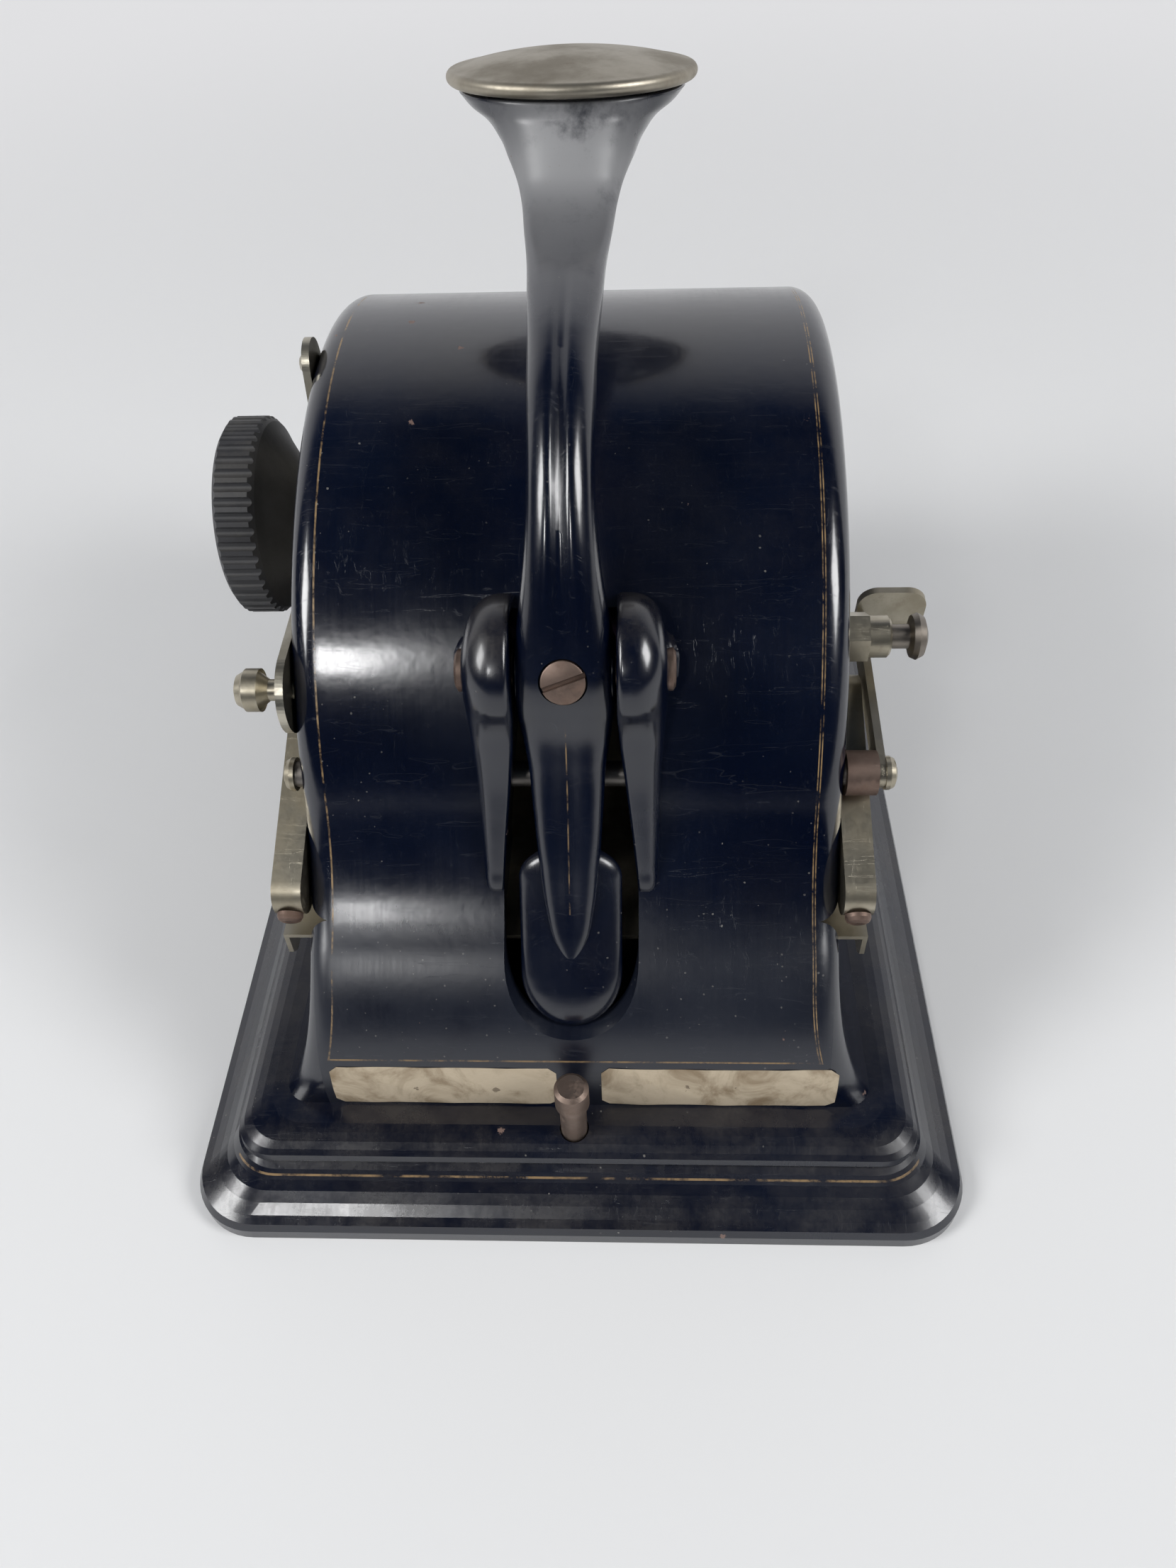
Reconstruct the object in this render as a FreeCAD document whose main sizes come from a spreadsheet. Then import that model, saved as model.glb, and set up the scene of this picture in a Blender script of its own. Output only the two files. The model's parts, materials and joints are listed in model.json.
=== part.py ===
import FreeCAD, Part
import math
import os
import Sketcher
from FreeCAD import Vector

# A desk check writer: stepped base, ogee hood, one long hand lever, type wheel,
# ink roller and platen. Millimetres. X to the object's right, Y to its back, Z up.
# The origin is the centre of the base's footprint.

doc = FreeCAD.newDocument("check_writer")

SIZES = [
    # base
    ("base_width", 165.0), ("base_depth", 250.0), ("rim_corner", 14.0),
    ("lip_height", 5.5), ("lip_inset", 2.5),
    ("slope_rise", 7.0), ("slope_inset", 7.0),
    ("cove_rise", 2.5), ("cove_inset", 1.0),
    ("bead_rise", 3.5), ("bead_inset", 6.5),
    ("base_wall", 4.0), ("deck_plate", 4.0),
    ("well_inset", 6.0), ("well_front", -92.0), ("well_back", 88.0),
    # bottom plate
    ("bottom_sheet", 1.2), ("bottom_lift", 1.4), ("bottom_inset", 6.0),
    ("bottom_back_gap", 7.5), ("tongue_width", 16.0), ("tongue_reach", 3.5), ("tongue_x", 45.0),
    ("tongue_roll", 0.9),
    # release pin in front of the paddle
    ("release_from_front", 16.5), ("release_head", 7.0), ("release_head_rise", 6.3),
    ("release_shaft", 5.5), ("release_rise", 17.0), ("release_collar", 8.0),
    ("release_low", 8.0), ("bracket_sheet", 1.2), ("bracket_low", 5.5),
    ("bracket_half_width", 11.0), ("hood_screw_out", 4.4), ("hood_screw_y", 62.0),
    ("hood_screw_shank", 1.5), ("hood_screw_head", 3.0),
    # hood
    ("base_shoulder", 28.5), ("hood_wall", 4.2), ("hood_edge", 5.5),
    ("hood_radius", 88.0), ("hood_y", 13.0), ("hood_rise", 26.5),
    ("cove_radius", 50.0), ("cove_top_angle", 20.6), ("cove_low_angle", 54.3),
    ("foot_radius", 39.0), ("flare_radius", 56.0), ("flare_height", 29.5),
    # front slot and ears
    ("slot_half_width", 13.5), ("slot_bottom_rise", 19.5), ("slot_shoulder_rise", 66.5),
    ("slot_top_rise", 89.5), ("ear_thickness", 8.9), ("ear_radius", 8.0),
    ("ear_edge", 2.2),
    # throat, where the cheque goes in
    ("throat_rise", 31.5), ("throat_gap", 6.0), ("throat_front", -83.0), ("throat_back", 40.0),
    ("table_sheet", 1.0), ("table_overhang", 6.0), ("table_lip", 7.0),
    ("table_lip_width", 12.0),
    # hand lever
    ("pivot_y", -60.0), ("pivot_rise", 84.1), ("boss_radius", 9.2), ("boss_half_width", 9.2),
    ("pivot_radius", 3.0), ("pivot_head_radius", 4.0), ("pivot_head", 1.8),
    ("arm_width", 14.0), ("arm_height", 10.8),
    ("button_y", 49.0), ("button_rise", 152.5), ("button_radius", 26.0), ("button_rim", 1.8),
    ("button_dome", 4.5), ("button_tilt", 8.0), ("collar_radius", 23.2), ("collar_neck", 11.0),
    ("paddle_half_width", 9.7), ("paddle_thickness", 4.6),
    ("link_pin_back", -22.0), ("link_pin_drop", 59.0), ("link_pin_radius", 2.0),
    ("lug_radius", 4.2), ("lug_inner", 4.5), ("lug_thickness", 3.0),
    ("boss_screw_radius", 3.8), ("boss_screw_head", 1.6), ("boss_screw_angle", 26.0),
    # type wheel and its knob
    ("wheel_y", 9.0), ("wheel_shaft_radius", 4.0), ("type_radius", 35.0), ("type_height", 3.5),
    ("type_width", 6.0), ("type_count", 12), ("type_proud", 2.0),
    ("wheel_side_gap", 9.8), ("wheel_rim", 5.0),
    ("wheel_web", 6.0), ("wheel_hub", 9.0),
    ("knob_radius", 22.4), ("knob_thickness", 9.5), ("knob_hub_radius", 9.0),
    ("knob_back_radius", 19.0), ("knob_hub_length", 6.5), ("knob_cone", 7.5),
    ("flute_count", 44), ("flute_radius", 1.1),
    ("plate_sheet", 1.6), ("plate_gap", 0.2), ("dial_radius", 24.5),
    ("plate_pin_y", 7.0), ("plate_pin_rise", 111.0), ("plate_pin_radius", 2.2),
    # detent of the wheel
    ("star_reach", 8.3), ("star_width", 3.0), ("star_radius", 14.0), ("star_notch", 2.2), ("nose_radius", 2.0),
    ("leaf_sheet", 0.6), ("leaf_width", 4.0), ("leaf_back", 27.0), ("leaf_tab", 10.0),
    ("leaf_screw_radius", 2.6), ("leaf_screw_head", 1.5), ("leaf_screw_shank", 1.2),
    # thumb screw
    ("thumb_y", -54.0), ("thumb_rise", 74.0), ("thumb_radius", 4.3), ("thumb_neck", 2.15),
    ("thumb_band", 2.9), ("thumb_length", 10.4),
    # ink roller
    ("roller_radius", 10.6), ("roller_side_gap", 8.8), ("roller_gap", 0.4),
    ("roller_core", 4.0), ("spindle_radius", 2.5), ("bushing_hex", 10.7), ("bushing_length", 6.0),
    ("bushing_collar", 4.3), ("bushing_collar_length", 4.5),
    ("mushroom_radius", 4.8), ("mushroom_length", 3.7), ("spindle_reach", 3.8),
    # paper clamp
    ("clamp_y", -61.8), ("clamp_rise", 58.2), ("clamp_radius", 2.6), ("clamp_spacer", 6.5),
    ("clamp_screw_radius", 3.4), ("clamp_screw_head", 2.3),
    ("finger_x", 30.0), ("finger_width", 8.0), ("finger_reach", 26.0),
    ("thumb_arm", 1.6), ("thumb_arm_half_height", 3.0), ("thumb_arm_length", 40.0),
    ("thumb_arm_angle", 9.0), ("thumb_tab_width", 14.5), ("thumb_tab_depth", 12.0),
    # guide bars
    ("bar_width", 6.0), ("bar_y", -77.5), ("bar_rise", 40.7), ("bar_radius", 5.0),
    ("bar_length", 42.0), ("bar_angle", 23.0), ("bar_screw_radius", 2.6), ("bar_screw_head", 1.9),
    ("bar_screw_angle", 25.0),
    # print linkage under the throat
    ("crank_y", 0.5), ("crank_drop", 0.5), ("crank_radius", 17.0), ("crank_lean", 20.5),
    ("crank_shaft_radius", 2.5), ("crank_hub", 4.5), ("crank_width", 3.0),
    ("cam_reach", 7.5), ("cam_nose", 2.5), ("cam_x", 30.0), ("cam_width", 6.0),
    ("link_width", 7.0), ("link_half_height", 2.8), ("link_slot_play", 1.6),
    ("platen_side_gap", 7.8), ("platen_half_depth", 7.0), ("platen_height", 6.0),
    ("platen_pad", 1.6), ("platen_gap", 0.4), ("foot_depth", 7.0),
    ("post_x", 18.0), ("post_radius", 2.5), ("platen_boss_radius", 5.0), ("platen_boss_drop", 16.0),
    ("pan_sheet", 2.5), ("pan_bottom", 8.0), ("pan_inset", 24.5), ("pan_half_depth", 30.0),
    ("pan_flange", 8.0), ("cheek_x", 38.0), ("cheek_thickness", 3.0), ("cheek_rise", 16.0),
    ("frame_screw_in", 8.0), ("frame_screw_head", 2.6), ("frame_screw_shank", 1.2), ("frame_screw_bite", 3.2),
    # fits
    ("running", 0.05), ("side_play", 0.3), ("wire", 0.6),
]

sheet = doc.addObject("Spreadsheet::Sheet", "Sizes")
for row, (alias, number) in enumerate(SIZES, start=1):
    sheet.set("A%d" % row, alias)
    sheet.set("B%d" % row, "%g" % number)
    sheet.setAlias("B%d" % row, alias)
doc.recompute()


def size(text):
    """The value of an expression over the sheet, as a plain number."""
    found = sheet.evalExpression(text)
    return float(getattr(found, "Value", found))


# Heights and places that follow from the sheet.
SLOPE_TOP = "(Sizes.lip_height + Sizes.slope_rise)"
DECK = "(Sizes.lip_height + Sizes.slope_rise + Sizes.cove_rise + Sizes.bead_rise)"
FRONT = "(-Sizes.base_depth / 2)"
TABLE_TOP = "(%s + Sizes.throat_rise)" % DECK
THROAT_TOP = "(%s + Sizes.throat_gap)" % TABLE_TOP
HOOD_Z = "(%s + Sizes.hood_rise)" % DECK
PIVOT_Z = "(%s + Sizes.pivot_rise)" % DECK
WHEEL_Z = "(%s + Sizes.type_radius)" % THROAT_TOP
THUMB_Z = "(%s + Sizes.thumb_rise)" % DECK
ROLLER_Y = "(Sizes.wheel_y - Sizes.type_radius - Sizes.roller_radius - Sizes.roller_gap)"
CLAMP_Z = "(%s + Sizes.clamp_rise)" % DECK
HOOD_HALF = "(Sizes.base_width / 2 - Sizes.base_shoulder)"
HOOD_INNER = "(%s - Sizes.hood_wall)" % HOOD_HALF
HOOD_SCREW_X = "(%s + Sizes.hood_screw_out)" % HOOD_HALF
WELL_HALF = "(%s - Sizes.well_inset)" % HOOD_HALF
TABLE_HALF = "(%s + Sizes.table_overhang)" % HOOD_HALF
WHEEL_HALF = "(%s - Sizes.wheel_side_gap)" % HOOD_INNER
ROLLER_HALF = "(%s - Sizes.roller_side_gap)" % HOOD_INNER
PLATEN_HALF = "(%s - Sizes.platen_side_gap)" % HOOD_INNER
PAN_HALF = "(Sizes.base_width / 2 - Sizes.pan_inset)"
LINK_PIN_Y = "(Sizes.pivot_y + Sizes.link_pin_back)"
LINK_PIN_Z = "(%s - Sizes.link_pin_drop)" % PIVOT_Z
CRANK_Z = "(%s - Sizes.crank_drop)" % DECK
CRANK_PIN_Y = "(Sizes.crank_y + Sizes.crank_radius * sin(Sizes.crank_lean * 1 deg))"
CRANK_PIN_Z = "(%s + Sizes.crank_radius * cos(Sizes.crank_lean * 1 deg))" % CRANK_Z
PLATEN_TOP = "(%s - Sizes.platen_gap)" % TABLE_TOP
PAN_TOP = "(Sizes.pan_bottom + Sizes.pan_sheet)"
FLANGE_TOP = "(%s - Sizes.deck_plate)" % DECK
FLANGE_LOW = "(%s - Sizes.pan_sheet)" % FLANGE_TOP
FRAME_SCREW_X = "(%s + Sizes.pan_flange / 2)" % PAN_HALF
FRAME_SCREW_REACH = "(Sizes.pan_half_depth - Sizes.frame_screw_in)"
NOSE_Z = "(%s + Sizes.star_radius + Sizes.side_play + Sizes.nose_radius)" % WHEEL_Z
LEAF_Z = "(%s + Sizes.nose_radius - Sizes.leaf_sheet / 2)" % NOSE_Z
LEAF_SCREW_Y = "(Sizes.wheel_y + Sizes.leaf_back - Sizes.leaf_tab / 2)"
LEAF_SCREW_Z = "(%s + Sizes.leaf_tab / 2 + 0.6)" % LEAF_Z
CLAMP_ARM_X = "(%s + Sizes.clamp_spacer)" % HOOD_HALF
BOTTOM_BACK = "(Sizes.base_depth / 2 - Sizes.bottom_back_gap)"
TONGUE_TIP = "(%s + Sizes.tongue_reach)" % BOTTOM_BACK


# ---------------------------------------------------------------- helpers
def place(obj, x="0", y="0", z="0"):
    """Bind an object's position to the sheet."""
    obj.setExpression(".Placement.Base.x", x)
    obj.setExpression(".Placement.Base.y", y)
    obj.setExpression(".Placement.Base.z", z)


def turn_about_x(obj, angle):
    """Tip an object about X by an expression in degrees, before it is placed."""
    obj.Placement.Rotation = FreeCAD.Rotation(Vector(1, 0, 0), 1)
    obj.setExpression(".Placement.Rotation.Angle", "(%s) * 1 deg" % angle)


def new_body(label):
    body = doc.addObject("PartDesign::Body", label)
    body.Label = label
    return body


def plane(body, role):
    return [feature for feature in body.Origin.OriginFeatures if feature.Role == role][0]


def bind(sketch, kind, numbers, expression):
    """Add one sketch constraint whose value is an expression over the sheet."""
    index = sketch.addConstraint(Sketcher.Constraint(kind, *numbers, size(expression)))
    sketch.setExpression("Constraints[%d]" % index, expression)


def outline(body, role, corners, name, holes=()):
    """A closed sketch loop on an origin plane.

    A corner is (u, v) or (u, v, radius): a radius makes the side that starts there an arc,
    bulging to the left of its direction when positive. A half circle is (u, v, radius, u of
    its centre). A hole is (u, v, radius).
    """
    sketch = body.newObject("Sketcher::SketchObject", name)
    sketch.AttachmentSupport = [(plane(body, role), "")]
    sketch.MapMode = "FlatFace"
    at = [Vector(size(corner[0]), size(corner[1]), 0) for corner in corners]
    count = len(corners)
    first = []
    for i, corner in enumerate(corners):
        a = at[i]
        b = at[(i + 1) % count]
        if len(corner) > 2:
            radius = size(corner[2])
            half = (b - a).Length / 2
            sag = abs(radius) - math.sqrt(max(radius * radius - half * half, 0.0))
            left = Vector(a.y - b.y, b.x - a.x, 0).normalize()
            middle = (a + b) * 0.5 + left * math.copysign(sag, radius)
            sketch.addGeometry(Part.Arc(a, middle, b))
            first.append(2 if radius > 0 else 1)
        else:
            sketch.addGeometry(Part.LineSegment(a, b))
            first.append(1)
    for i in range(count):
        follow = (i + 1) % count
        sketch.addConstraint(Sketcher.Constraint("Coincident", i, 3 - first[i], follow, first[follow]))
    for i, corner in enumerate(corners):
        bind(sketch, "DistanceX", (-1, 1, i, first[i]), corner[0])
        bind(sketch, "DistanceY", (-1, 1, i, first[i]), corner[1])
        if len(corner) == 3:
            bind(sketch, "Radius", (i,), "abs(%s)" % corner[2])
        if len(corner) == 4:
            bind(sketch, "DistanceX", (-1, 1, i, 3), corner[3])
    for u, v, radius in holes:
        ring = sketch.addGeometry(Part.Circle(Vector(size(u), size(v), 0), Vector(0, 0, 1), size(radius)))
        bind(sketch, "Radius", (ring,), radius)
        bind(sketch, "DistanceX", (-1, 1, ring, 3), u)
        bind(sketch, "DistanceY", (-1, 1, ring, 3), v)
    return sketch


def pad(body, sketch, length, name="Pad"):
    feature = body.newObject("PartDesign::Pad", name)
    feature.Profile = sketch
    feature.setExpression("Length", length)
    sketch.Visibility = False
    return feature


def pocket(body, sketch, name="Pocket"):
    """Cut a sketch through the whole body, both ways from its plane."""
    feature = body.newObject("PartDesign::Pocket", name)
    feature.Profile = sketch
    feature.SideType = "Symmetric"
    feature.Type = "ThroughAll"
    sketch.Visibility = False
    return feature


def revolve(body, sketch, axis, name="Revolution"):
    feature = body.newObject("PartDesign::Revolution", name)
    feature.Profile = sketch
    feature.ReferenceAxis = (sketch, [axis])
    feature.Angle = 360
    sketch.Visibility = False
    return feature


def ring_pattern(body, feature, axis_role, count):
    """Repeat a feature round one of the body's own axes."""
    pattern = body.newObject("PartDesign::PolarPattern", "Ring")
    pattern.Originals = [feature]
    axis = [item for item in body.Origin.OriginFeatures if item.Role == axis_role][0]
    pattern.Axis = (axis, [""])
    pattern.Angle = 360
    pattern.setExpression("Occurrences", count)
    body.Tip = pattern
    return pattern


def turned(label, corners, y, z):
    """A part turned about an axis along X, from corners (x, radius)."""
    body = new_body(label)
    sketch = outline(body, "XZ_Plane", corners, "Profile")
    revolve(body, sketch, "H_Axis")
    place(body, "0", y, z)
    return body


def upright(label, corners, x, y):
    """A part turned about a vertical axis, from corners (radius, z)."""
    body = new_body(label)
    sketch = outline(body, "XZ_Plane", corners, "Profile")
    revolve(body, sketch, "V_Axis")
    place(body, x, y, "0")
    return body


def side_plate(label, corners, x, thickness, holes=()):
    """A plate cut from sheet across X: corners (y, z) in the model's own frame."""
    body = new_body(label)
    sketch = outline(body, "YZ_Plane", corners, "Outline", holes)
    pad(body, sketch, thickness)
    place(body, x, "0", "0")
    return body


def rod(label, x0, x1, radius, y, z):
    """A plain round pin along X."""
    return turned(label, [(x0, "0"), (x1, "0"), (x1, radius), (x0, radius)], y, z)


def shaped(label, shape):
    """A piece whose shape no feature fits, made with Part's own functions."""
    piece = doc.addObject("Part::Feature", label)
    piece.Label = label
    piece.Shape = shape
    piece.Placement = shape.Placement
    return piece


def slot_corners(u0, v0, u1, radius):
    """A round-ended bar along u, from centre (u0, v0) to (u1, v0)."""
    return [(u0, "%s - %s" % (v0, radius)), (u1, "%s - %s" % (v0, radius), "-(%s)" % radius, u1),
            (u1, "%s + %s" % (v0, radius)), (u0, "%s + %s" % (v0, radius), "-(%s)" % radius, u0)]


# ---------------------------------------------------------------- base
def rounded_rectangle(half_x, half_y, corner, z):
    """A closed wire: a rectangle with arc corners, at one height."""
    x = half_x - corner
    y = half_y - corner
    edges = []
    for sx, sy, turn in ((1, 1, 0), (-1, 1, 1), (-1, -1, 2), (1, -1, 3)):
        spots = []
        for k in (0, 0.5, 1):
            a = (turn + k) * math.pi / 2
            spots.append(Vector(sx * x + corner * math.cos(a), sy * y + corner * math.sin(a), z))
        edges.append(Part.Arc(*spots).toShape())
    loop = []
    for i, edge in enumerate(edges):
        loop.append(edge)
        nxt = edges[(i + 1) % 4]
        loop.append(Part.makeLine(edge.Vertexes[-1].Point, nxt.Vertexes[0].Point))
    return Part.Wire(loop)


def stepped_block(half_x, half_y, steps):
    """A ruled loft through rounded rectangles given as (inset, z, corner radius)."""
    rings = [rounded_rectangle(half_x - inset, half_y - inset, max(corner, 0.5), z)
             for inset, z, corner in steps]
    return Part.makeLoft(rings, True, True)


def base_shape():
    half_x = size("Sizes.base_width / 2")
    half_y = size("Sizes.base_depth / 2")
    corner = size("Sizes.rim_corner")
    lip = size("Sizes.lip_height")
    lip_in = size("Sizes.lip_inset")
    slope_top = size(SLOPE_TOP)
    slope_in = lip_in + size("Sizes.slope_inset")
    cove_top = slope_top + size("Sizes.cove_rise")
    cove_in = slope_in + size("Sizes.cove_inset")
    deck = size(DECK)
    bead_in = cove_in + size("Sizes.bead_inset")
    bead = size("Sizes.bead_rise")
    steps = [(0, 0, corner), (0, 0.55 * lip, corner), (0.3 * lip_in, 0.87 * lip, corner),
             (lip_in, lip, corner - lip_in)]
    for k in range(1, 5):                       # the slope is a shallow hollow
        t = k / 4.0
        sag = 0.9 * math.sin(math.pi * t)
        steps.append((lip_in + (slope_in - lip_in) * t + 0.6 * sag,
                      lip + (slope_top - lip) * t - 0.5 * sag, corner - lip_in - 1.2 * t))
    steps.append((cove_in + 0.5, slope_top + 0.3 * (cove_top - slope_top), corner - cove_in + 4))
    steps.append((cove_in, cove_top - 0.2 * (cove_top - slope_top), corner - cove_in + 5))
    for k in range(1, 6):                       # the bead is a quarter round
        a = k / 5.0 * math.pi / 2
        steps.append((cove_in + (bead_in - cove_in) * (1 - math.cos(a)),
                      cove_top + bead * math.sin(a), corner - cove_in + 4.5))
    outer = stepped_block(half_x, half_y, steps)
    wall = size("Sizes.base_wall")
    rebate = size("Sizes.bottom_inset")
    floor = size("Sizes.bottom_lift + Sizes.bottom_sheet")
    ceiling = deck - size("Sizes.deck_plate")
    hollow_top = cove_in + wall
    inside = stepped_block(half_x, half_y, [
        (lip_in + wall, -1, corner - lip_in), (lip_in + wall, 0.6 * lip, corner - lip_in),
        (hollow_top, ceiling, corner - lip_in - 2)])
    rim = stepped_block(half_x, half_y, [
        (rebate - 0.3, -1, corner - 4), (rebate - 0.3, floor, corner - 4)])
    base = outer.cut(inside).cut(rim)
    x = size(WELL_HALF)
    y0 = size("Sizes.well_front")
    y1 = size("Sizes.well_back")
    well = Part.makeBox(2 * x, y1 - y0, 20, Vector(-x, y0, ceiling - 2))
    base = base.cut(well)
    pin_y = size(FRONT + " + Sizes.release_from_front")
    holes = [Part.makeCylinder(size("Sizes.release_shaft / 2 + Sizes.side_play"), 30, Vector(0, pin_y, 5))]
    across = size("Sizes.bracket_half_width") + 0.3
    holes.append(Part.makeBox(2 * across, 12, ceiling - 3, Vector(-across, pin_y - 4, 3)))
    holes.append(Part.makeCylinder(size("Sizes.release_collar / 2") + 0.4, ceiling - 3, Vector(0, pin_y, 3)))
    bite = size("Sizes.frame_screw_bite") + 1.1
    for sx in (-1, 1):
        for sy in (-1, 1):
            spot = Vector(sx * size(HOOD_SCREW_X), sy * size("Sizes.hood_screw_y"), 5)
            holes.append(Part.makeCylinder(size("Sizes.hood_screw_shank"), 30, spot))
            frame_y = size("Sizes.crank_y") + sy * size(FRAME_SCREW_REACH)
            spot = Vector(sx * size(FRAME_SCREW_X), frame_y, ceiling - 1)
            holes.append(Part.makeCylinder(size("Sizes.frame_screw_shank"), bite, spot))
    low = size("Sizes.bottom_lift")
    for sx in (-1, 1):
        holes.append(Part.makeBox(size("Sizes.tongue_width") + 1, 10, 4.2, Vector(
            sx * size("Sizes.tongue_x") - size("Sizes.tongue_width") / 2 - 0.5,
            size(TONGUE_TIP) + 0.5 - 10, low - 0.4)))
    return base.cut(holes).removeSplitter()


shaped("base_casting", base_shape())


# ---------------------------------------------------------------- hood
def arc_points(centre, radius, from_deg, to_deg):
    spots = []
    for k in (0, 0.5, 1):
        a = math.radians(from_deg + (to_deg - from_deg) * k)
        spots.append(Vector(0, centre[0] + radius * math.cos(a), centre[1] + radius * math.sin(a)))
    return spots


def hood_profile(inset):
    """The hood's side profile, moved inwards: foot, hollow and main arc are tangent arcs."""
    deck = size(DECK)
    centre = (size("Sizes.hood_y"), size(HOOD_Z))
    radius = size("Sizes.hood_radius")
    top = size("Sizes.cove_top_angle")
    low = size("Sizes.cove_low_angle")
    cove = size("Sizes.cove_radius")
    foot = size("Sizes.foot_radius")
    a = math.radians(180 - top)
    reach = radius + cove
    hollow = (centre[0] + reach * math.cos(a), centre[1] + reach * math.sin(a))
    b = math.radians(-low)
    reach = cove + foot
    ankle = (hollow[0] + reach * math.cos(b), hollow[1] + reach * math.sin(b))
    main = arc_points(centre, radius - inset, 180 - top, 0)
    bend = arc_points(hollow, cove + inset, -low, -top)
    toe = arc_points(ankle, foot - inset, 180, 180 - low)
    bottom = deck - (0 if inset == 0 else 1)
    start = Vector(0, toe[0].y, bottom)
    end = Vector(0, main[2].y, bottom)
    edges = [Part.makeLine(start, toe[0])]
    for spots in (toe, bend, main):
        edges.append(Part.Arc(*spots).toShape())
    edges.append(Part.makeLine(main[2], end))
    edges.append(Part.makeLine(end, start))
    return Part.Wire(edges)


def hood_front(inset):
    """The hood's front profile: plumb sides that flare outwards to the deck."""
    deck = size(DECK) - (0 if inset == 0 else 1)
    half = size(HOOD_HALF) - inset
    radius = size("Sizes.flare_radius") + inset
    spring = size(DECK + " + Sizes.flare_height")
    drop = size("Sizes.flare_height")
    high = size(HOOD_Z) + 2 * size("Sizes.hood_radius")
    spots = []
    for k in (0, 0.5, 1):
        z = drop * k
        x = half + radius - math.sqrt(radius * radius - z * z)
        spots.append(Vector(x, 0, spring - z))
    edges = [Part.Arc(*spots).toShape()]
    low = spots[2]
    foot = Vector(low.x, 0, deck)
    if low.z - deck > 0.01:
        edges.append(Part.makeLine(low, foot))
    else:
        foot = low
    mirror = [Vector(-v.x, 0, v.z) for v in spots]
    edges.append(Part.makeLine(foot, Vector(-foot.x, 0, foot.z)))
    if low.z - deck > 0.01:
        edges.append(Part.makeLine(Vector(-foot.x, 0, foot.z), mirror[2]))
    edges.append(Part.Arc(*mirror[::-1]).toShape())
    edges.append(Part.makeLine(mirror[0], Vector(-half, 0, high)))
    edges.append(Part.makeLine(Vector(-half, 0, high), Vector(half, 0, high)))
    edges.append(Part.makeLine(Vector(half, 0, high), spots[0]))
    return Part.Wire(edges)


def hood_block(inset, edge_radius):
    side = Part.Face(hood_profile(inset))
    wide = size(HOOD_HALF) + 30
    side = side.translated(Vector(-wide, 0, 0)).extrude(Vector(2 * wide, 0, 0))
    front = Part.Face(hood_front(inset))
    far = size("Sizes.hood_radius") + 60
    front = front.translated(Vector(0, -far, 0)).extrude(Vector(0, 2 * far, 0))
    block = side.common(front).removeSplitter()
    if not edge_radius:
        return block
    deck = size(DECK)
    chain = []
    for edge in block.Edges:
        box = edge.BoundBox
        if box.ZMax - box.ZMin < 0.01 and box.ZMax < deck + 0.1:
            continue                            # the foot line on the deck
        if box.XMin * box.XMax < 0:
            continue                            # seams that run across
        mids = edge.valueAt((edge.FirstParameter + edge.LastParameter) / 2)
        faces = block.ancestorsOfType(edge, Part.Face)
        normals = []
        for face in faces:
            u, v = face.Surface.parameter(mids)
            normals.append(face.normalAt(u, v))
        if abs(normals[0].dot(normals[1])) < 0.9:
            chain.append(edge)
    return block.makeFillet(edge_radius, chain)


def hull(circles):
    """The outline round a chain of circles (y, z, radius): tangent lines and arcs."""
    spots = []
    for y, z, r in circles:
        for k in range(72):
            a = math.radians(5 * k)
            spots.append((y + r * math.cos(a), z + r * math.sin(a)))
    spots = sorted(set(spots))

    def half(points):
        out = []
        for p in points:
            while len(out) > 1:
                (ax, ay), (bx, by) = out[-2], out[-1]
                if (bx - ax) * (p[1] - ay) - (by - ay) * (p[0] - ax) > 0:
                    break
                out.pop()
            out.append(p)
        return out

    ring = half(spots)[:-1] + half(spots[::-1])[:-1]
    return Part.makePolygon([Vector(0, y, z) for y, z in ring + ring[:1]])


def ear_shape():
    """One ear of the lever's fork, standing on the hood's front."""
    pivot = (size("Sizes.pivot_y"), size(PIVOT_Z))
    radius = size("Sizes.ear_radius")
    inner = size("Sizes.boss_half_width") + 0.4
    thick = size("Sizes.ear_thickness")
    deck = size(DECK)
    circles = [(pivot[0], pivot[1], radius), (pivot[0] + 8, pivot[1] + 6, 5.5),
               (pivot[0] - 13.6, deck + 53.5, 2.2), (pivot[0] + 15, deck + 75, 12),
               (pivot[0] + 4, deck + 58, 8)]
    ear = Part.Face(hull(circles)).translated(Vector(inner, 0, 0)).extrude(Vector(thick, 0, 0))
    trim = size("Sizes.ear_edge")
    ring = Part.Face(hull([(y, z, r - 0.45 * trim) for y, z, r in circles]))
    core = Part.Face(hull([(y, z, r - 1.0 * trim) for y, z, r in circles]))
    low = ear.common(Part.makeBox(thick - trim, 400, 400, Vector(inner, -200, 0)))
    mid = ring.translated(Vector(inner, 0, 0)).extrude(Vector(thick - 0.4 * trim, 0, 0))
    top = core.translated(Vector(inner, 0, 0)).extrude(Vector(thick, 0, 0))
    return low.fuse([mid, top])


def bore_x(radius, y, z, x0, x1):
    return Part.makeCylinder(radius, x1 - x0, Vector(x0, y, z), Vector(1, 0, 0))


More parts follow.
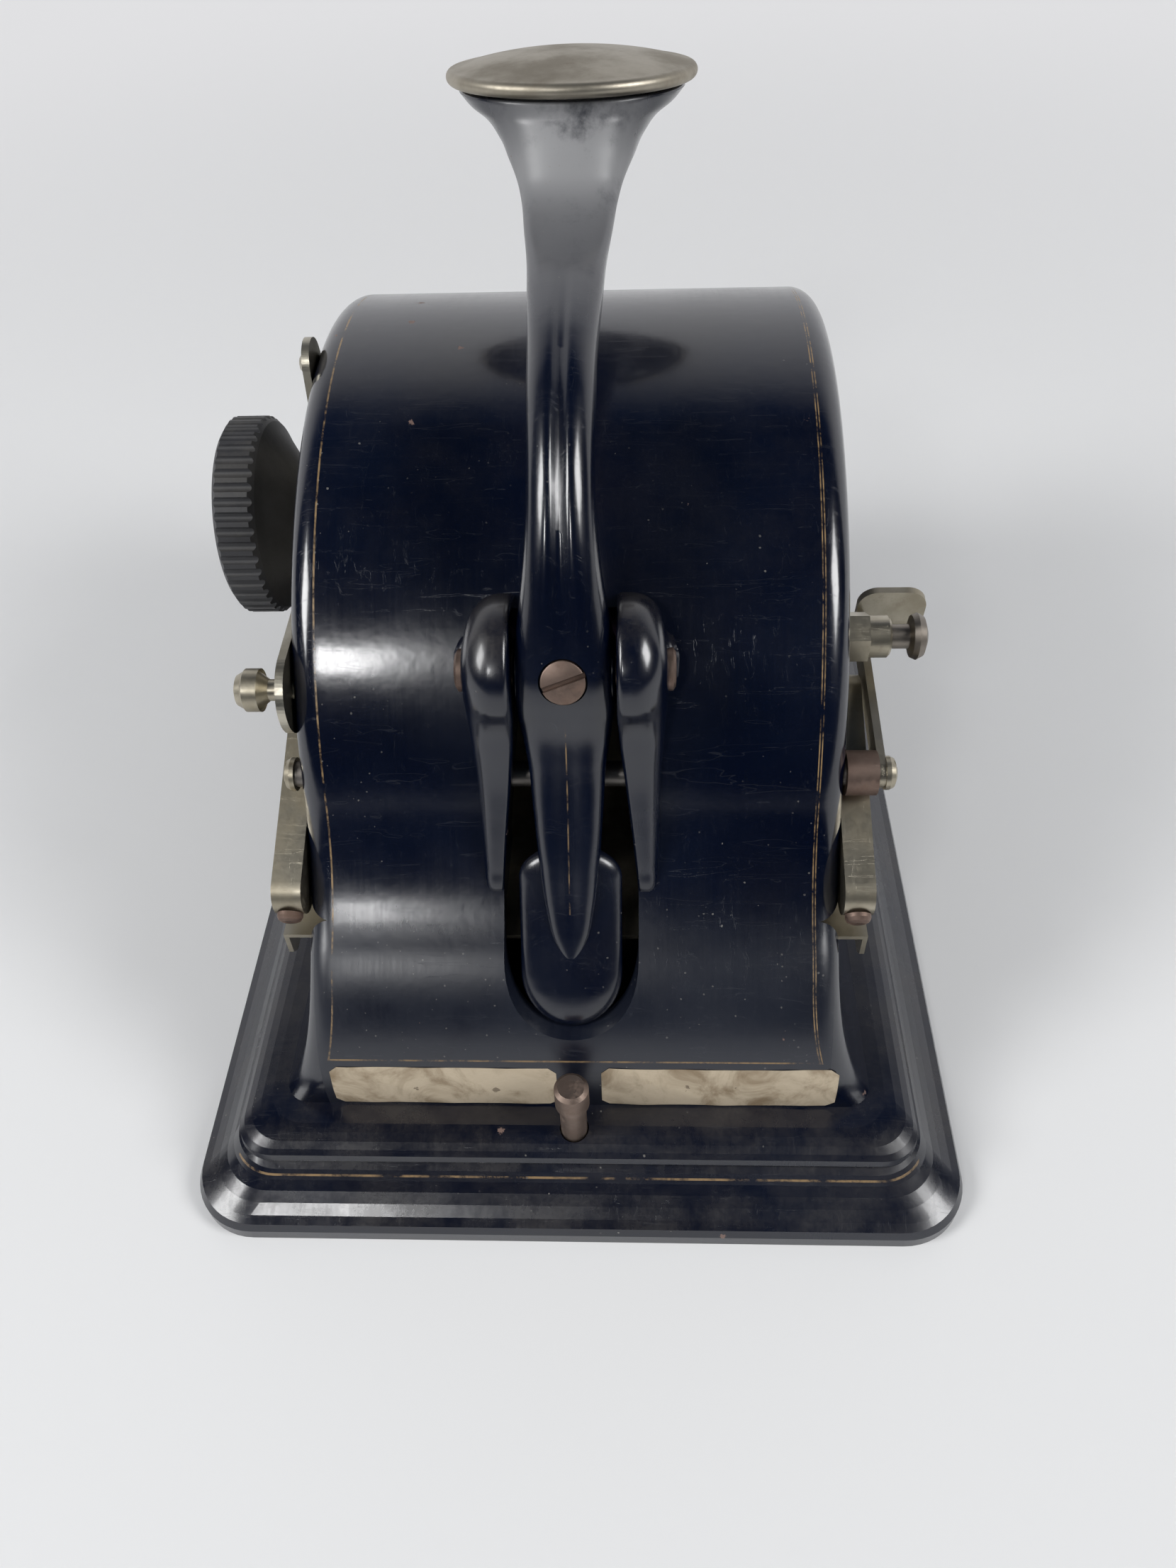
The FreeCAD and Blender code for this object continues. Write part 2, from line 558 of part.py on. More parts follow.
def hood_shape():
    outer = hood_block(0, size("Sizes.hood_edge"))
    ear = ear_shape()
    outer = outer.fuse([ear, ear.mirror(Vector(0, 0, 0), Vector(1, 0, 0))])
    wall = size("Sizes.hood_wall")
    inner = hood_block(wall, 0)
    hood = outer.cut(inner)
    deck = size(DECK)
    half = size("Sizes.slot_half_width")
    low = deck + size("Sizes.slot_bottom_rise")
    shoulder = deck + size("Sizes.slot_shoulder_rise")
    top = deck + size("Sizes.slot_top_rise")
    neck = size("Sizes.boss_half_width") + 0.4
    back = size("Sizes.pivot_y") + 18
    wide = Part.makeBox(2 * half, 200, shoulder - half - low - half, Vector(-half, back - 200, low + half))
    round_end = Part.makeCylinder(half, 200, Vector(0, back - 200, low + half), Vector(0, 1, 0))
    arch = Part.makeCylinder(half, 200, Vector(0, back - 200, shoulder - half), Vector(0, 1, 0))
    narrow = Part.makeBox(2 * neck, 200, top - low - half, Vector(-neck, back - 200, low + half))
    hood = hood.cut([wide, round_end, arch, narrow])
    far = size(HOOD_HALF) + 20
    sheet_low = size(TABLE_TOP + " - Sizes.table_sheet") - 0.1
    y0 = size("Sizes.throat_front")
    y1 = size("Sizes.throat_back")
    throat_top = size(THROAT_TOP)
    for sign in (-1, 1):
        x0 = size(HOOD_INNER) - 8 if sign > 0 else -far
        throat = Part.makeBox(far - size(HOOD_INNER) + 8, y1 - y0, throat_top - sheet_low,
                              Vector(x0, y0, sheet_low))
        hood = hood.cut(throat)
    run = size("Sizes.running")
    wheel = (size("Sizes.wheel_y"), size(WHEEL_Z))
    roller = (size(ROLLER_Y), size(WHEEL_Z))
    clamp = (size("Sizes.clamp_y"), size(CLAMP_Z))
    thumb = (size("Sizes.thumb_y"), size(THUMB_Z))
    pivot = (size("Sizes.pivot_y"), size(PIVOT_Z))
    cuts = [bore_x(size("Sizes.wheel_shaft_radius") + run, *wheel, -far, far),
            bore_x(size("Sizes.bushing_collar"), *roller, 0, far),
            bore_x(size("Sizes.spindle_radius"), *roller, -far, 0),
            bore_x(size("Sizes.clamp_radius") + run, *clamp, -far, far),
            bore_x(size("Sizes.thumb_neck") + run, *thumb, -far, 0),
            bore_x(size("Sizes.pivot_radius") + run, *pivot, -25, 25),
            bore_x(size("Sizes.leaf_screw_shank"), size(LEAF_SCREW_Y), size(LEAF_SCREW_Z),
                   size(HOOD_INNER) - 1, size(HOOD_INNER) + 0.75 * wall)]
    for sx in (-1, 1):
        for sy in (-1, 1):
            spot = Vector(sx * size(HOOD_SCREW_X), sy * size("Sizes.hood_screw_y"), deck)
            cuts.append(Part.makeCylinder(size("Sizes.hood_screw_shank"), 5, spot))
    return hood.cut(cuts)


shaped("hood", hood_shape())
doc.recompute()


# ---------------------------------------------------------------- hand lever
def lever_section(y, z, ang, width, height):
    """A closed rounded section across the lever's path: (y, z) centre, ang its direction in degrees."""
    along = math.radians(ang)
    up = Vector(0, -math.sin(along), math.cos(along))
    spots = []
    for k in range(24):
        a = 2 * math.pi * k / 24
        c = math.cos(a)
        s = math.sin(a)
        u = math.copysign(abs(c) ** 0.72, c) * width / 2
        v = math.copysign(abs(s) ** 0.72, s) * height / 2
        spots.append(Vector(u, y, z) + up * v)
    curve = Part.BSplineCurve()
    curve.interpolate(Points=spots, PeriodicFlag=True)
    return Part.Wire([curve.toShape()])


def lever_shape():
    py = size("Sizes.pivot_y")
    pz = size(PIVOT_Z)
    wide = size("Sizes.arm_width") / 14.0
    tall = size("Sizes.arm_height") / 10.8
    top_y = size("Sizes.button_y")
    top_z = size(DECK + " + Sizes.button_rise")
    tilt = size("Sizes.button_tilt")
    # stations of the arm from the boss to the collar, as shares of the way in y and z
    run_y = (top_y - py) / 109.0
    run_z = (top_z - pz) / 68.4
    arm = [(0, 4, 90, 17.6, 15.5), (1.0, 13.4, 82, 16.8, 13.5), (7.0, 26.4, 60, 15.4, 12),
           (17, 37.4, 40, 13.2, 11), (31, 45.9, 24, 13.3, 10.5), (47, 50.9, 11, 14, 10.8),
           (63, 53.4, 6, 14.8, 10.8), (79, 54.9, 6, 16.2, 11.2), (93, 56.8, 9, 20, 13),
           (102, 59.4, 14, 25, 16)]
    rings = []
    for y, z, ang, width, height in arm:
        rings.append(lever_section(py + y * run_y, pz + z * run_z, ang, width * wide, height * tall))
    body = Part.makeLoft(rings, True, False)
    tail = [(0, -3, 270, 17.4, 15.5), (-5.2, -9.6, 248, 15, 11.6), (-10.9, -20.6, 246, 13.2, 8.0),
            (-16, -33.6, 243, 11.4, 8.5), (-21.5, -45.1, 244, 8, 6), (-24.6, -52.6, 250, 3.4, 2.6)]
    rings = []
    for y, z, ang, width, height in tail:
        rings.append(lever_section(py + y, pz + z, ang - 180, width, height))
    body = body.fuse(Part.makeLoft(rings, True, False))
    half = size("Sizes.boss_half_width")
    boss = bore_x(size("Sizes.boss_radius"), py, pz, -half, half)
    boss = boss.makeFillet(1.2, [e for e in boss.Edges if len(e.Vertexes) == 1 or e.Closed])
    body = body.fuse(boss)
    body = body.fuse(collar_shape(top_y, top_z, tilt))
    body = body.fuse([paddle_shape(py, pz)] + lug_shapes())
    bores = [bore_x(size("Sizes.pivot_radius"), py, pz, -half - 2, half + 2),
             bore_x(size("Sizes.link_pin_radius"), size(LINK_PIN_Y), size(LINK_PIN_Z), -20, 20)]
    ang = math.radians(size("Sizes.boss_screw_angle"))
    front = Vector(0, -math.cos(ang), math.sin(ang))
    seat = Vector(0, py, pz) + front * (size("Sizes.boss_radius") - 0.8)
    bores.append(Part.makeCylinder(size("Sizes.boss_screw_radius") + 0.15, 6, seat, front))
    bores.append(Part.makeCylinder(1.6, 3, seat - front * 2, front))
    return body.cut(bores)


def collar_shape(top_y, top_z, tilt):
    """The trumpet that spreads from the arm to the button's seat, tipped back."""
    rim = size("Sizes.collar_radius")
    neck = size("Sizes.collar_neck")
    points = [Vector(0, 0, -12), Vector(neck * 0.8, 0, -12), Vector(neck, 0, -9),
              Vector(neck * 1.28, 0, -6.6), Vector(rim * 0.72, 0, -4.6), Vector(rim - 1, 0, -3.4),
              Vector(rim, 0, -2.4), Vector(rim, 0, 0), Vector(0, 0, 0), Vector(0, 0, -12)]
    cone = Part.Face(Part.makePolygon(points)).revolve(Vector(0, 0, 0), Vector(0, 0, 1), 360)
    cone.rotate(Vector(0, 0, 0), Vector(1, 0, 0), -tilt)
    cone.translate(Vector(0, top_y, top_z))
    return cone


def paddle_shape(py, pz):
    """The spoon at the foot of the lever: a curved plate with a round bottom."""
    half = size("Sizes.paddle_half_width")
    thick = size("Sizes.paddle_thickness")
    path = [(-13.5, -28.0), (-17.5, -37.0), (-22.5, -46.5), (-28.0, -55.5), (-33.0, -63.8)]
    front = [Vector(0, py + y - thick * 0.47, pz + z + thick * 0.2) for y, z in path]
    back = [Vector(0, py + y + thick * 0.47, pz + z - thick * 0.2) for y, z in path]
    a = Part.BSplineCurve()
    a.interpolate(front)
    b = Part.BSplineCurve()
    b.interpolate(back)
    loop = Part.Wire([a.toShape(), Part.makeLine(front[-1], back[-1]), b.toShape(),
                      Part.makeLine(back[0], front[0])])
    plate = Part.Face(loop).translated(Vector(-half, 0, 0)).extrude(Vector(2 * half, 0, 0))
    bottom = pz - 64.0
    disc = Part.makeCylinder(half, 200, Vector(0, py - 150, bottom + half), Vector(0, 1, 0))
    trunk = Part.makeBox(2 * half, 200, 80, Vector(-half, py - 150, bottom + half))
    return plate.common(disc.fuse(trunk))


def lug_shapes():
    """Two lugs on the paddle's back that carry the link pin."""
    y = size(LINK_PIN_Y)
    z = size(LINK_PIN_Z)
    radius = size("Sizes.lug_radius")
    x0 = size("Sizes.lug_inner")
    thick = size("Sizes.lug_thickness")
    profile = Part.Face(hull([(y, z, radius), (y - 7.2, z + 1.5, radius * 0.8), (y - 4.0, z + 9.0, 2.5)]))
    lugs = []
    for x in (x0, -x0 - thick):
        lugs.append(profile.translated(Vector(x, 0, 0)).extrude(Vector(thick, 0, 0)))
    return lugs


shaped("hand_lever", lever_shape())


def tilted_button(label):
    """The palm button: a flat turned disc with a low dome, tipped back with the collar."""
    body = new_body(label)
    dome = "((Sizes.button_radius ^ 2 + Sizes.button_dome ^ 2) / (2 * Sizes.button_dome))"
    corners = [("0", "0"), ("Sizes.button_radius - 1", "0"), ("Sizes.button_radius", "0.9"),
               ("Sizes.button_radius", "Sizes.button_rim", "-1 * %s" % dome),
               ("0", "Sizes.button_rim + Sizes.button_dome")]
    revolve(body, outline(body, "XZ_Plane", corners, "Profile"), "V_Axis")
    turn_about_x(body, "-Sizes.button_tilt")
    place(body, "0", "Sizes.button_y", DECK + " + Sizes.button_rise")
    return body


tilted_button("palm_button")
ear_out = "(Sizes.boss_half_width + 0.4 + Sizes.ear_thickness)"
turned("lever_pivot", [
    ("-%s - 0.1 - Sizes.pivot_head" % ear_out, "0"),
    ("%s + 0.1 + Sizes.pivot_head" % ear_out, "0"),
    ("%s + 0.1 + Sizes.pivot_head" % ear_out, "Sizes.pivot_head_radius - 0.8"),
    ("%s + 0.5 + Sizes.pivot_head / 2" % ear_out, "Sizes.pivot_head_radius"),
    ("%s + 0.1" % ear_out, "Sizes.pivot_head_radius"), ("%s + 0.1" % ear_out, "Sizes.pivot_radius"),
    ("-%s - 0.1" % ear_out, "Sizes.pivot_radius"), ("-%s - 0.1" % ear_out, "Sizes.pivot_head_radius"),
    ("-%s - 0.5 - Sizes.pivot_head / 2" % ear_out, "Sizes.pivot_head_radius"),
    ("-%s - 0.1 - Sizes.pivot_head" % ear_out, "Sizes.pivot_head_radius - 0.8")],
    "Sizes.pivot_y", PIVOT_Z)


def slotted_head(body, radius, top):
    """Saw a screwdriver slot across a head whose top is at z = top in the body's own frame."""
    corners = [("-2 * (%s)" % radius, "(%s) - 0.7" % top), ("2 * (%s)" % radius, "(%s) - 0.7" % top),
               ("2 * (%s)" % radius, "(%s) + 3" % top), ("-2 * (%s)" % radius, "(%s) + 3" % top)]
    sketch = outline(body, "XZ_Plane", corners, "Slot")
    feature = body.newObject("PartDesign::Pocket", "SlotCut")
    feature.Profile = sketch
    feature.SideType = "Symmetric"
    feature.Length = 1.0
    return feature


def round_screw(label, radius, head, shank, depth, flat="0.55"):
    """A round-head screw standing along its own +Z, seat at z = 0."""
    body = new_body(label)
    corners = [("0", "-(%s)" % depth), (shank, "-(%s)" % depth), (shank, "0"), (radius, "0"),
               (radius, "(%s) * 0.4" % head), ("(%s) * 0.86" % radius, "(%s) * 0.8" % head),
               ("(%s) * %s" % (radius, flat), head), ("0", head)]
    revolve(body, outline(body, "XZ_Plane", corners, "Profile"), "V_Axis")
    doc.recompute()
    slotted_head(body, radius, head)
    return body


screw = round_screw("boss_screw", "Sizes.boss_screw_radius", "Sizes.boss_screw_head", "1.6", "2")
boss_out = "(Sizes.boss_radius - 0.8)"
turn_about_x(screw, "90 - Sizes.boss_screw_angle")
place(screw, "0", "Sizes.pivot_y - %s * cos(Sizes.boss_screw_angle * 1 deg)" % boss_out,
      "%s + %s * sin(Sizes.boss_screw_angle * 1 deg)" % (PIVOT_Z, boss_out))
rod("link_pin", "-Sizes.lug_inner - Sizes.lug_thickness", "Sizes.lug_inner + Sizes.lug_thickness",
    "Sizes.link_pin_radius", LINK_PIN_Y, LINK_PIN_Z)


# ---------------------------------------------------------------- draw link and crank
def draw_link():
    """The link from the lever's tail to the crank: an eye in front, a short slot behind."""
    body = new_body("draw_link")
    span = "sqrt((%s - %s)^2 + (%s - %s)^2)" % (CRANK_PIN_Y, LINK_PIN_Y, CRANK_PIN_Z, LINK_PIN_Z)
    eye = "(Sizes.link_pin_radius + 2.2)"
    sketch = outline(body, "YZ_Plane", slot_corners("0", "0", span, "Sizes.link_half_height"), "Bar")
    pad(body, sketch, "Sizes.link_width - 0.4")
    front = body.newObject("Sketcher::SketchObject", "Eye")
    front.AttachmentSupport = [(plane(body, "YZ_Plane"), "")]
    front.MapMode = "FlatFace"
    ring = front.addGeometry(Part.Circle(Vector(0, 0, 0), Vector(0, 0, 1), size(eye)))
    bind(front, "Radius", (ring,), eye)
    front.addConstraint(Sketcher.Constraint("Coincident", ring, 3, -1, 1))
    pad(body, front, "Sizes.link_width - 0.4", "EyePad")
    reach = "(Sizes.link_pin_radius + Sizes.link_slot_play)"
    head = outline(body, "YZ_Plane", [
        ("%s - 5" % span, "-%s - 2" % reach), ("%s + 5" % span, "-%s - 2" % reach),
        ("%s + 5" % span, "%s + 2" % reach), ("%s - 5" % span, "%s + 2" % reach)], "Head")
    pad(body, head, "Sizes.link_width - 0.4", "HeadPad")
    doc.recompute()
    bore = body.newObject("Sketcher::SketchObject", "Bore")
    bore.AttachmentSupport = [(plane(body, "YZ_Plane"), "")]
    bore.MapMode = "FlatFace"
    ring = bore.addGeometry(Part.Circle(Vector(0, 0, 0), Vector(0, 0, 1), 2))
    bind(bore, "Radius", (ring,), "Sizes.link_pin_radius + Sizes.running")
    bore.addConstraint(Sketcher.Constraint("Coincident", ring, 3, -1, 1))
    pocket(body, bore, "PinBore")
    wide = "(Sizes.link_pin_radius + Sizes.side_play)"
    window = outline(body, "YZ_Plane", [
        ("%s - %s" % (span, wide), "-%s" % reach), ("%s + %s" % (span, wide), "-%s" % reach),
        ("%s + %s" % (span, wide), reach), ("%s - %s" % (span, wide), reach)], "Window")
    pocket(body, window, "Slot")
    turn_about_x(body, "atan2(%s - %s; %s - %s)" % (CRANK_PIN_Z, LINK_PIN_Z, CRANK_PIN_Y, LINK_PIN_Y))
    place(body, "-Sizes.link_width / 2 + 0.2", LINK_PIN_Y, LINK_PIN_Z)
    return body


draw_link()


def crank_arm(label, x):
    """One side of the crank's clevis, from the shaft up to the crank pin."""
    body = new_body(label)
    sketch = outline(body, "YZ_Plane", slot_corners("0", "0", "Sizes.crank_radius", "Sizes.crank_hub - 0.5"),
                     "Outline", [("0", "0", "Sizes.crank_shaft_radius"),
                                 ("Sizes.crank_radius", "0", "Sizes.link_pin_radius")])
    pad(body, sketch, "Sizes.crank_width")
    turn_about_x(body, "90 - Sizes.crank_lean")
    place(body, x, "Sizes.crank_y", CRANK_Z)
    return body


crank_arm("crank_arm_left", "-Sizes.lug_inner - Sizes.crank_width")
crank_arm("crank_arm_right", "Sizes.lug_inner")
rod("crank_pin", "-Sizes.lug_inner - Sizes.crank_width", "Sizes.lug_inner + Sizes.crank_width",
    "Sizes.link_pin_radius", CRANK_PIN_Y, CRANK_PIN_Z)
rod("crank_shaft", "-Sizes.cheek_x - Sizes.cheek_thickness", "Sizes.cheek_x + Sizes.cheek_thickness",
    "Sizes.crank_shaft_radius", "Sizes.crank_y", CRANK_Z)
CAM_HALF_TURN = "asin(Sizes.throat_gap / 2 / Sizes.cam_reach)"


def lift_cam(label, x):
    """A cam on the crank shaft whose round nose lifts one foot of the platen."""
    body = new_body(label)
    hub = outline(body, "YZ_Plane", [
        ("0", "-Sizes.crank_hub"),
        ("Sizes.cam_reach", "-Sizes.cam_nose", "-Sizes.cam_nose", "Sizes.cam_reach"),
        ("Sizes.cam_reach", "Sizes.cam_nose"), ("Sizes.cam_reach - 2.4", "Sizes.cam_nose * 0.36"),
        ("2.5", "Sizes.crank_hub * 0.8"), ("0", "Sizes.crank_hub", "-Sizes.crank_hub", "0")],
        "Outline", [("0", "0", "Sizes.crank_shaft_radius")])
    pad(body, hub, "Sizes.cam_width")
    turn_about_x(body, "-" + CAM_HALF_TURN)
    place(body, x, "Sizes.crank_y", CRANK_Z)
    return body


lift_cam("lift_cam_left", "-Sizes.cam_x - Sizes.cam_width / 2")
lift_cam("lift_cam_right", "Sizes.cam_x - Sizes.cam_width / 2")


# ---------------------------------------------------------------- platen
def platen_block():
    body = new_body("platen_block")
    top = "(%s - Sizes.platen_pad)" % PLATEN_TOP
    low = "(%s - Sizes.platen_height)" % top
    y0 = "(Sizes.wheel_y - Sizes.platen_half_depth)"
    y1 = "(Sizes.wheel_y + Sizes.platen_half_depth)"
    bar = outline(body, "YZ_Plane", [(y0, low), (y1, low), (y1, top), (y0, top)], "Bar")
    feature = pad(body, bar, "2 * " + PLATEN_HALF)
    feature.SideType = "Symmetric"
    foot = "(%s - Sizes.throat_gap / 2 + Sizes.cam_nose + 0.15)" % CRANK_Z
    reach = "Sizes.cam_width / 2"
    for side, name in ((-1, "LeftFoot"), (1, "RightFoot")):
        x = "%d * Sizes.cam_x" % side
        sketch = outline(body, "XZ_Plane", [
            ("%s - %s" % (x, reach), foot), ("%s + %s" % (x, reach), foot),
            ("%s + %s" % (x, reach), low + " + 1"), ("%s - %s" % (x, reach), low + " + 1")], name)
        leg = body.newObject("PartDesign::Pad", name + "Pad")
        leg.Profile = sketch
        leg.Reversed = True
        leg.setExpression("Length", "Sizes.wheel_y + Sizes.foot_depth / 2")
    doc.recompute()
    trim = outline(body, "YZ_Plane", [
        ("-1", "%s - 1" % foot), ("Sizes.wheel_y - Sizes.foot_depth / 2", "%s - 1" % foot),
        ("Sizes.wheel_y - Sizes.foot_depth / 2", low), ("-1", low)], "FootTrim")
    pocket(body, trim, "FootCut")
    for side, name in ((-1, "LeftBoss"), (1, "RightBoss")):
        x = "%d * Sizes.post_x" % side
        sketch = body.newObject("Sketcher::SketchObject", name)
        sketch.AttachmentSupport = [(plane(body, "XY_Plane"), "")]
        sketch.MapMode = "FlatFace"
        ring = sketch.addGeometry(Part.Circle(Vector(size(x), 0, 0), Vector(0, 0, 1), 5))
        bind(sketch, "Radius", (ring,), "Sizes.platen_boss_radius")
        bind(sketch, "DistanceX", (-1, 1, ring, 3), x)
        bind(sketch, "DistanceY", (-1, 1, ring, 3), "Sizes.wheel_y")
        sketch.setExpression(".AttachmentOffset.Base.z", "%s - Sizes.platen_boss_drop" % low)
        boss = body.newObject("PartDesign::Pad", name + "Pad")
        boss.Profile = sketch
        boss.setExpression("Length", "Sizes.platen_boss_drop + 1")
    doc.recompute()
    for side, name in ((-1, "LeftBore"), (1, "RightBore")):
        x = "%d * Sizes.post_x" % side
        sketch = body.newObject("Sketcher::SketchObject", name)
        sketch.AttachmentSupport = [(plane(body, "XY_Plane"), "")]
        sketch.MapMode = "FlatFace"
        ring = sketch.addGeometry(Part.Circle(Vector(size(x), 0, 0), Vector(0, 0, 1), 2.5))
        bind(sketch, "Radius", (ring,), "Sizes.post_radius + Sizes.running")
        bind(sketch, "DistanceX", (-1, 1, ring, 3), x)
        bind(sketch, "DistanceY", (-1, 1, ring, 3), "Sizes.wheel_y")
        sketch.setExpression(".AttachmentOffset.Base.z", "%s - Sizes.platen_boss_drop - 1" % low)
        hole = body.newObject("PartDesign::Pocket", name + "Cut")
        hole.Profile = sketch
        hole.Reversed = True
        hole.setExpression("Length", "Sizes.platen_boss_drop + 1 + Sizes.platen_height - 1")
    return body


platen_block()
pad_piece = new_body("platen_pad")
pad_low = "(%s - Sizes.platen_pad)" % PLATEN_TOP
pad(pad_piece, outline(pad_piece, "YZ_Plane", [
    ("Sizes.wheel_y - Sizes.platen_half_depth + 1", pad_low),
    ("Sizes.wheel_y + Sizes.platen_half_depth - 1", pad_low),
    ("Sizes.wheel_y + Sizes.platen_half_depth - 1", PLATEN_TOP),
    ("Sizes.wheel_y - Sizes.platen_half_depth + 1", PLATEN_TOP)], "Outline"),
    "2 * %s - 2" % PLATEN_HALF).SideType = "Symmetric"
POST_TOP = "(%s - Sizes.platen_pad - 1.6)" % PLATEN_TOP
for side, name in ((-1, "guide_post_left"), (1, "guide_post_right")):
    upright(name, [("0", PAN_TOP), ("Sizes.post_radius", PAN_TOP), ("Sizes.post_radius", POST_TOP + " - 0.5"),
                   ("Sizes.post_radius - 0.5", POST_TOP), ("0", POST_TOP)],
            "%d * Sizes.post_x" % side, "Sizes.wheel_y")


def mechanism_frame():
    """A folded pan hung under the deck, with two cheeks that carry the crank shaft."""
    body = new_body("mechanism_frame")
    out = "(%s + Sizes.pan_flange)" % PAN_HALF
    wall = "(%s - Sizes.pan_sheet)" % PAN_HALF
    step = FLANGE_LOW
    half = PAN_HALF
    corners = [("-" + half, "Sizes.pan_bottom"), (half, "Sizes.pan_bottom"), (half, step), (out, step),
               (out, FLANGE_TOP), (wall, FLANGE_TOP), (wall, PAN_TOP), ("-" + wall, PAN_TOP),
               ("-" + wall, FLANGE_TOP), ("-" + out, FLANGE_TOP), ("-" + out, step), ("-" + half, step)]
    feature = pad(body, outline(body, "XZ_Plane", corners, "Section"), "2 * Sizes.pan_half_depth")
    feature.SideType = "Symmetric"
    inner = "Sizes.cheek_x"
    outer = "(Sizes.cheek_x + Sizes.cheek_thickness)"
    top = "(%s + Sizes.cheek_rise)" % "Sizes.pan_bottom"
    for name, a, b in (("Left", "-" + outer, "-" + inner), ("Right", inner, outer)):
        sketch = outline(body, "XZ_Plane", [(a, "Sizes.pan_bottom + 1"), (b, "Sizes.pan_bottom + 1"),
                                            (b, top), (a, top)], name + "Cheek")
        cheek = body.newObject("PartDesign::Pad", name + "CheekPad")
        cheek.Profile = sketch
        cheek.SideType = "Symmetric"
        cheek.Length = 24
    doc.recompute()
    bore = body.newObject("Sketcher::SketchObject", "Bore")
    bore.AttachmentSupport = [(plane(body, "YZ_Plane"), "")]
    bore.MapMode = "FlatFace"
    ring = bore.addGeometry(Part.Circle(Vector(0, size(CRANK_Z), 0), Vector(0, 0, 1), 2.5))
    bind(bore, "Radius", (ring,), "Sizes.crank_shaft_radius + Sizes.running")
    bind(bore, "DistanceX", (-1, 1, ring, 3), "0")
    bind(bore, "DistanceY", (-1, 1, ring, 3), CRANK_Z)
    hole = body.newObject("PartDesign::Pocket", "ShaftBore")
    hole.Profile = bore
    hole.SideType = "Symmetric"
    hole.setExpression("Length", "2 * %s + 2" % outer)
    doc.recompute()
    ring = body.newObject("Sketcher::SketchObject", "ScrewHoles")
    ring.AttachmentSupport = [(plane(body, "XY_Plane"), "")]
    ring.MapMode = "FlatFace"
    for sx, sy in ((-1, -1), (1, -1), (-1, 1), (1, 1)):
        spot = Vector(sx * size(FRAME_SCREW_X), sy * size(FRAME_SCREW_REACH), 0)
        index = ring.addGeometry(Part.Circle(spot, Vector(0, 0, 1), 1.2))
        bind(ring, "Radius", (index,), "Sizes.frame_screw_shank")
        bind(ring, "DistanceX", (-1, 1, index, 3), "%d * %s" % (sx, FRAME_SCREW_X))
        bind(ring, "DistanceY", (-1, 1, index, 3), "%d * %s" % (sy, FRAME_SCREW_REACH))
    pocket(body, ring, "ScrewHoleCut")
    place(body, "0", "Sizes.crank_y", "0")
    return body


mechanism_frame()


# ---------------------------------------------------------------- type wheel and knob
wheel_in = "(Sizes.type_radius - Sizes.type_proud)"
drum = turned("type_wheel", [
    ("-" + WHEEL_HALF, wheel_in + " - Sizes.wheel_rim"),
    ("-Sizes.wheel_web / 2", wheel_in + " - Sizes.wheel_rim"), ("-Sizes.wheel_web / 2", "Sizes.wheel_hub"),
    ("-%s / 2" % WHEEL_HALF, "Sizes.wheel_hub"),
    ("-%s / 2" % WHEEL_HALF, "Sizes.wheel_shaft_radius"),
    (WHEEL_HALF + " / 2", "Sizes.wheel_shaft_radius"),
    (WHEEL_HALF + " / 2", "Sizes.wheel_hub"), ("Sizes.wheel_web / 2", "Sizes.wheel_hub"),
    ("Sizes.wheel_web / 2", wheel_in + " - Sizes.wheel_rim"),
    (WHEEL_HALF, wheel_in + " - Sizes.wheel_rim"),
    (WHEEL_HALF, wheel_in), ("-" + WHEEL_HALF, wheel_in)],
    "Sizes.wheel_y", WHEEL_Z)
TYPE_FOOT = "(Sizes.type_radius - Sizes.type_height)"
type_bar = pad(drum, outline(drum, "YZ_Plane", [
    ("-Sizes.type_width / 2", TYPE_FOOT), ("Sizes.type_width / 2", TYPE_FOOT),
    ("Sizes.type_width / 2", "Sizes.type_radius - 0.9"),
    ("Sizes.type_width / 2 - 1.2", "Sizes.type_radius - 0.05"),
    ("-Sizes.type_width / 2 + 1.2", "Sizes.type_radius - 0.05"),
    ("-Sizes.type_width / 2", "Sizes.type_radius - 0.9")], "TypeBar"), "2 * %s - 4" % WHEEL_HALF)
type_bar.SideType = "Symmetric"
doc.recompute()
ring_pattern(drum, type_bar, "X_Axis", "Sizes.type_count")

plate_out = "(%s + Sizes.plate_sheet)" % HOOD_HALF
knob_back = "(%s + Sizes.plate_gap)" % plate_out
knob_in = "(%s + Sizes.knob_hub_length)" % knob_back
knob_mid = "(%s + Sizes.knob_cone)" % knob_in
knob_out = "(%s + Sizes.knob_thickness)" % knob_mid
rod("wheel_shaft", "-%s + 2" % knob_out, "%s - 1.2" % HOOD_HALF, "Sizes.wheel_shaft_radius",
    "Sizes.wheel_y", WHEEL_Z)
knob = turned("index_knob", [
    ("-" + knob_back, "Sizes.wheel_shaft_radius"), ("-" + knob_back, "Sizes.knob_hub_radius"),
    ("-" + knob_in, "Sizes.knob_hub_radius"), ("-%s + 1.2" % knob_mid, "Sizes.knob_back_radius"),
    ("-" + knob_mid, "Sizes.knob_radius - 1.2"), ("-%s - 1.2" % knob_mid, "Sizes.knob_radius"),
    ("-%s + 1.2" % knob_out, "Sizes.knob_radius"), ("-" + knob_out, "Sizes.knob_radius - 1.6"),
    ("-" + knob_out, "Sizes.knob_radius - 5"), ("-%s + 1.4" % knob_out, "Sizes.knob_radius - 6.2"),
    ("-%s + 1.8" % knob_out, "0"), ("-%s + 2" % knob_out, "0"),
    ("-%s + 2" % knob_out, "Sizes.wheel_shaft_radius")], "Sizes.wheel_y", WHEEL_Z)


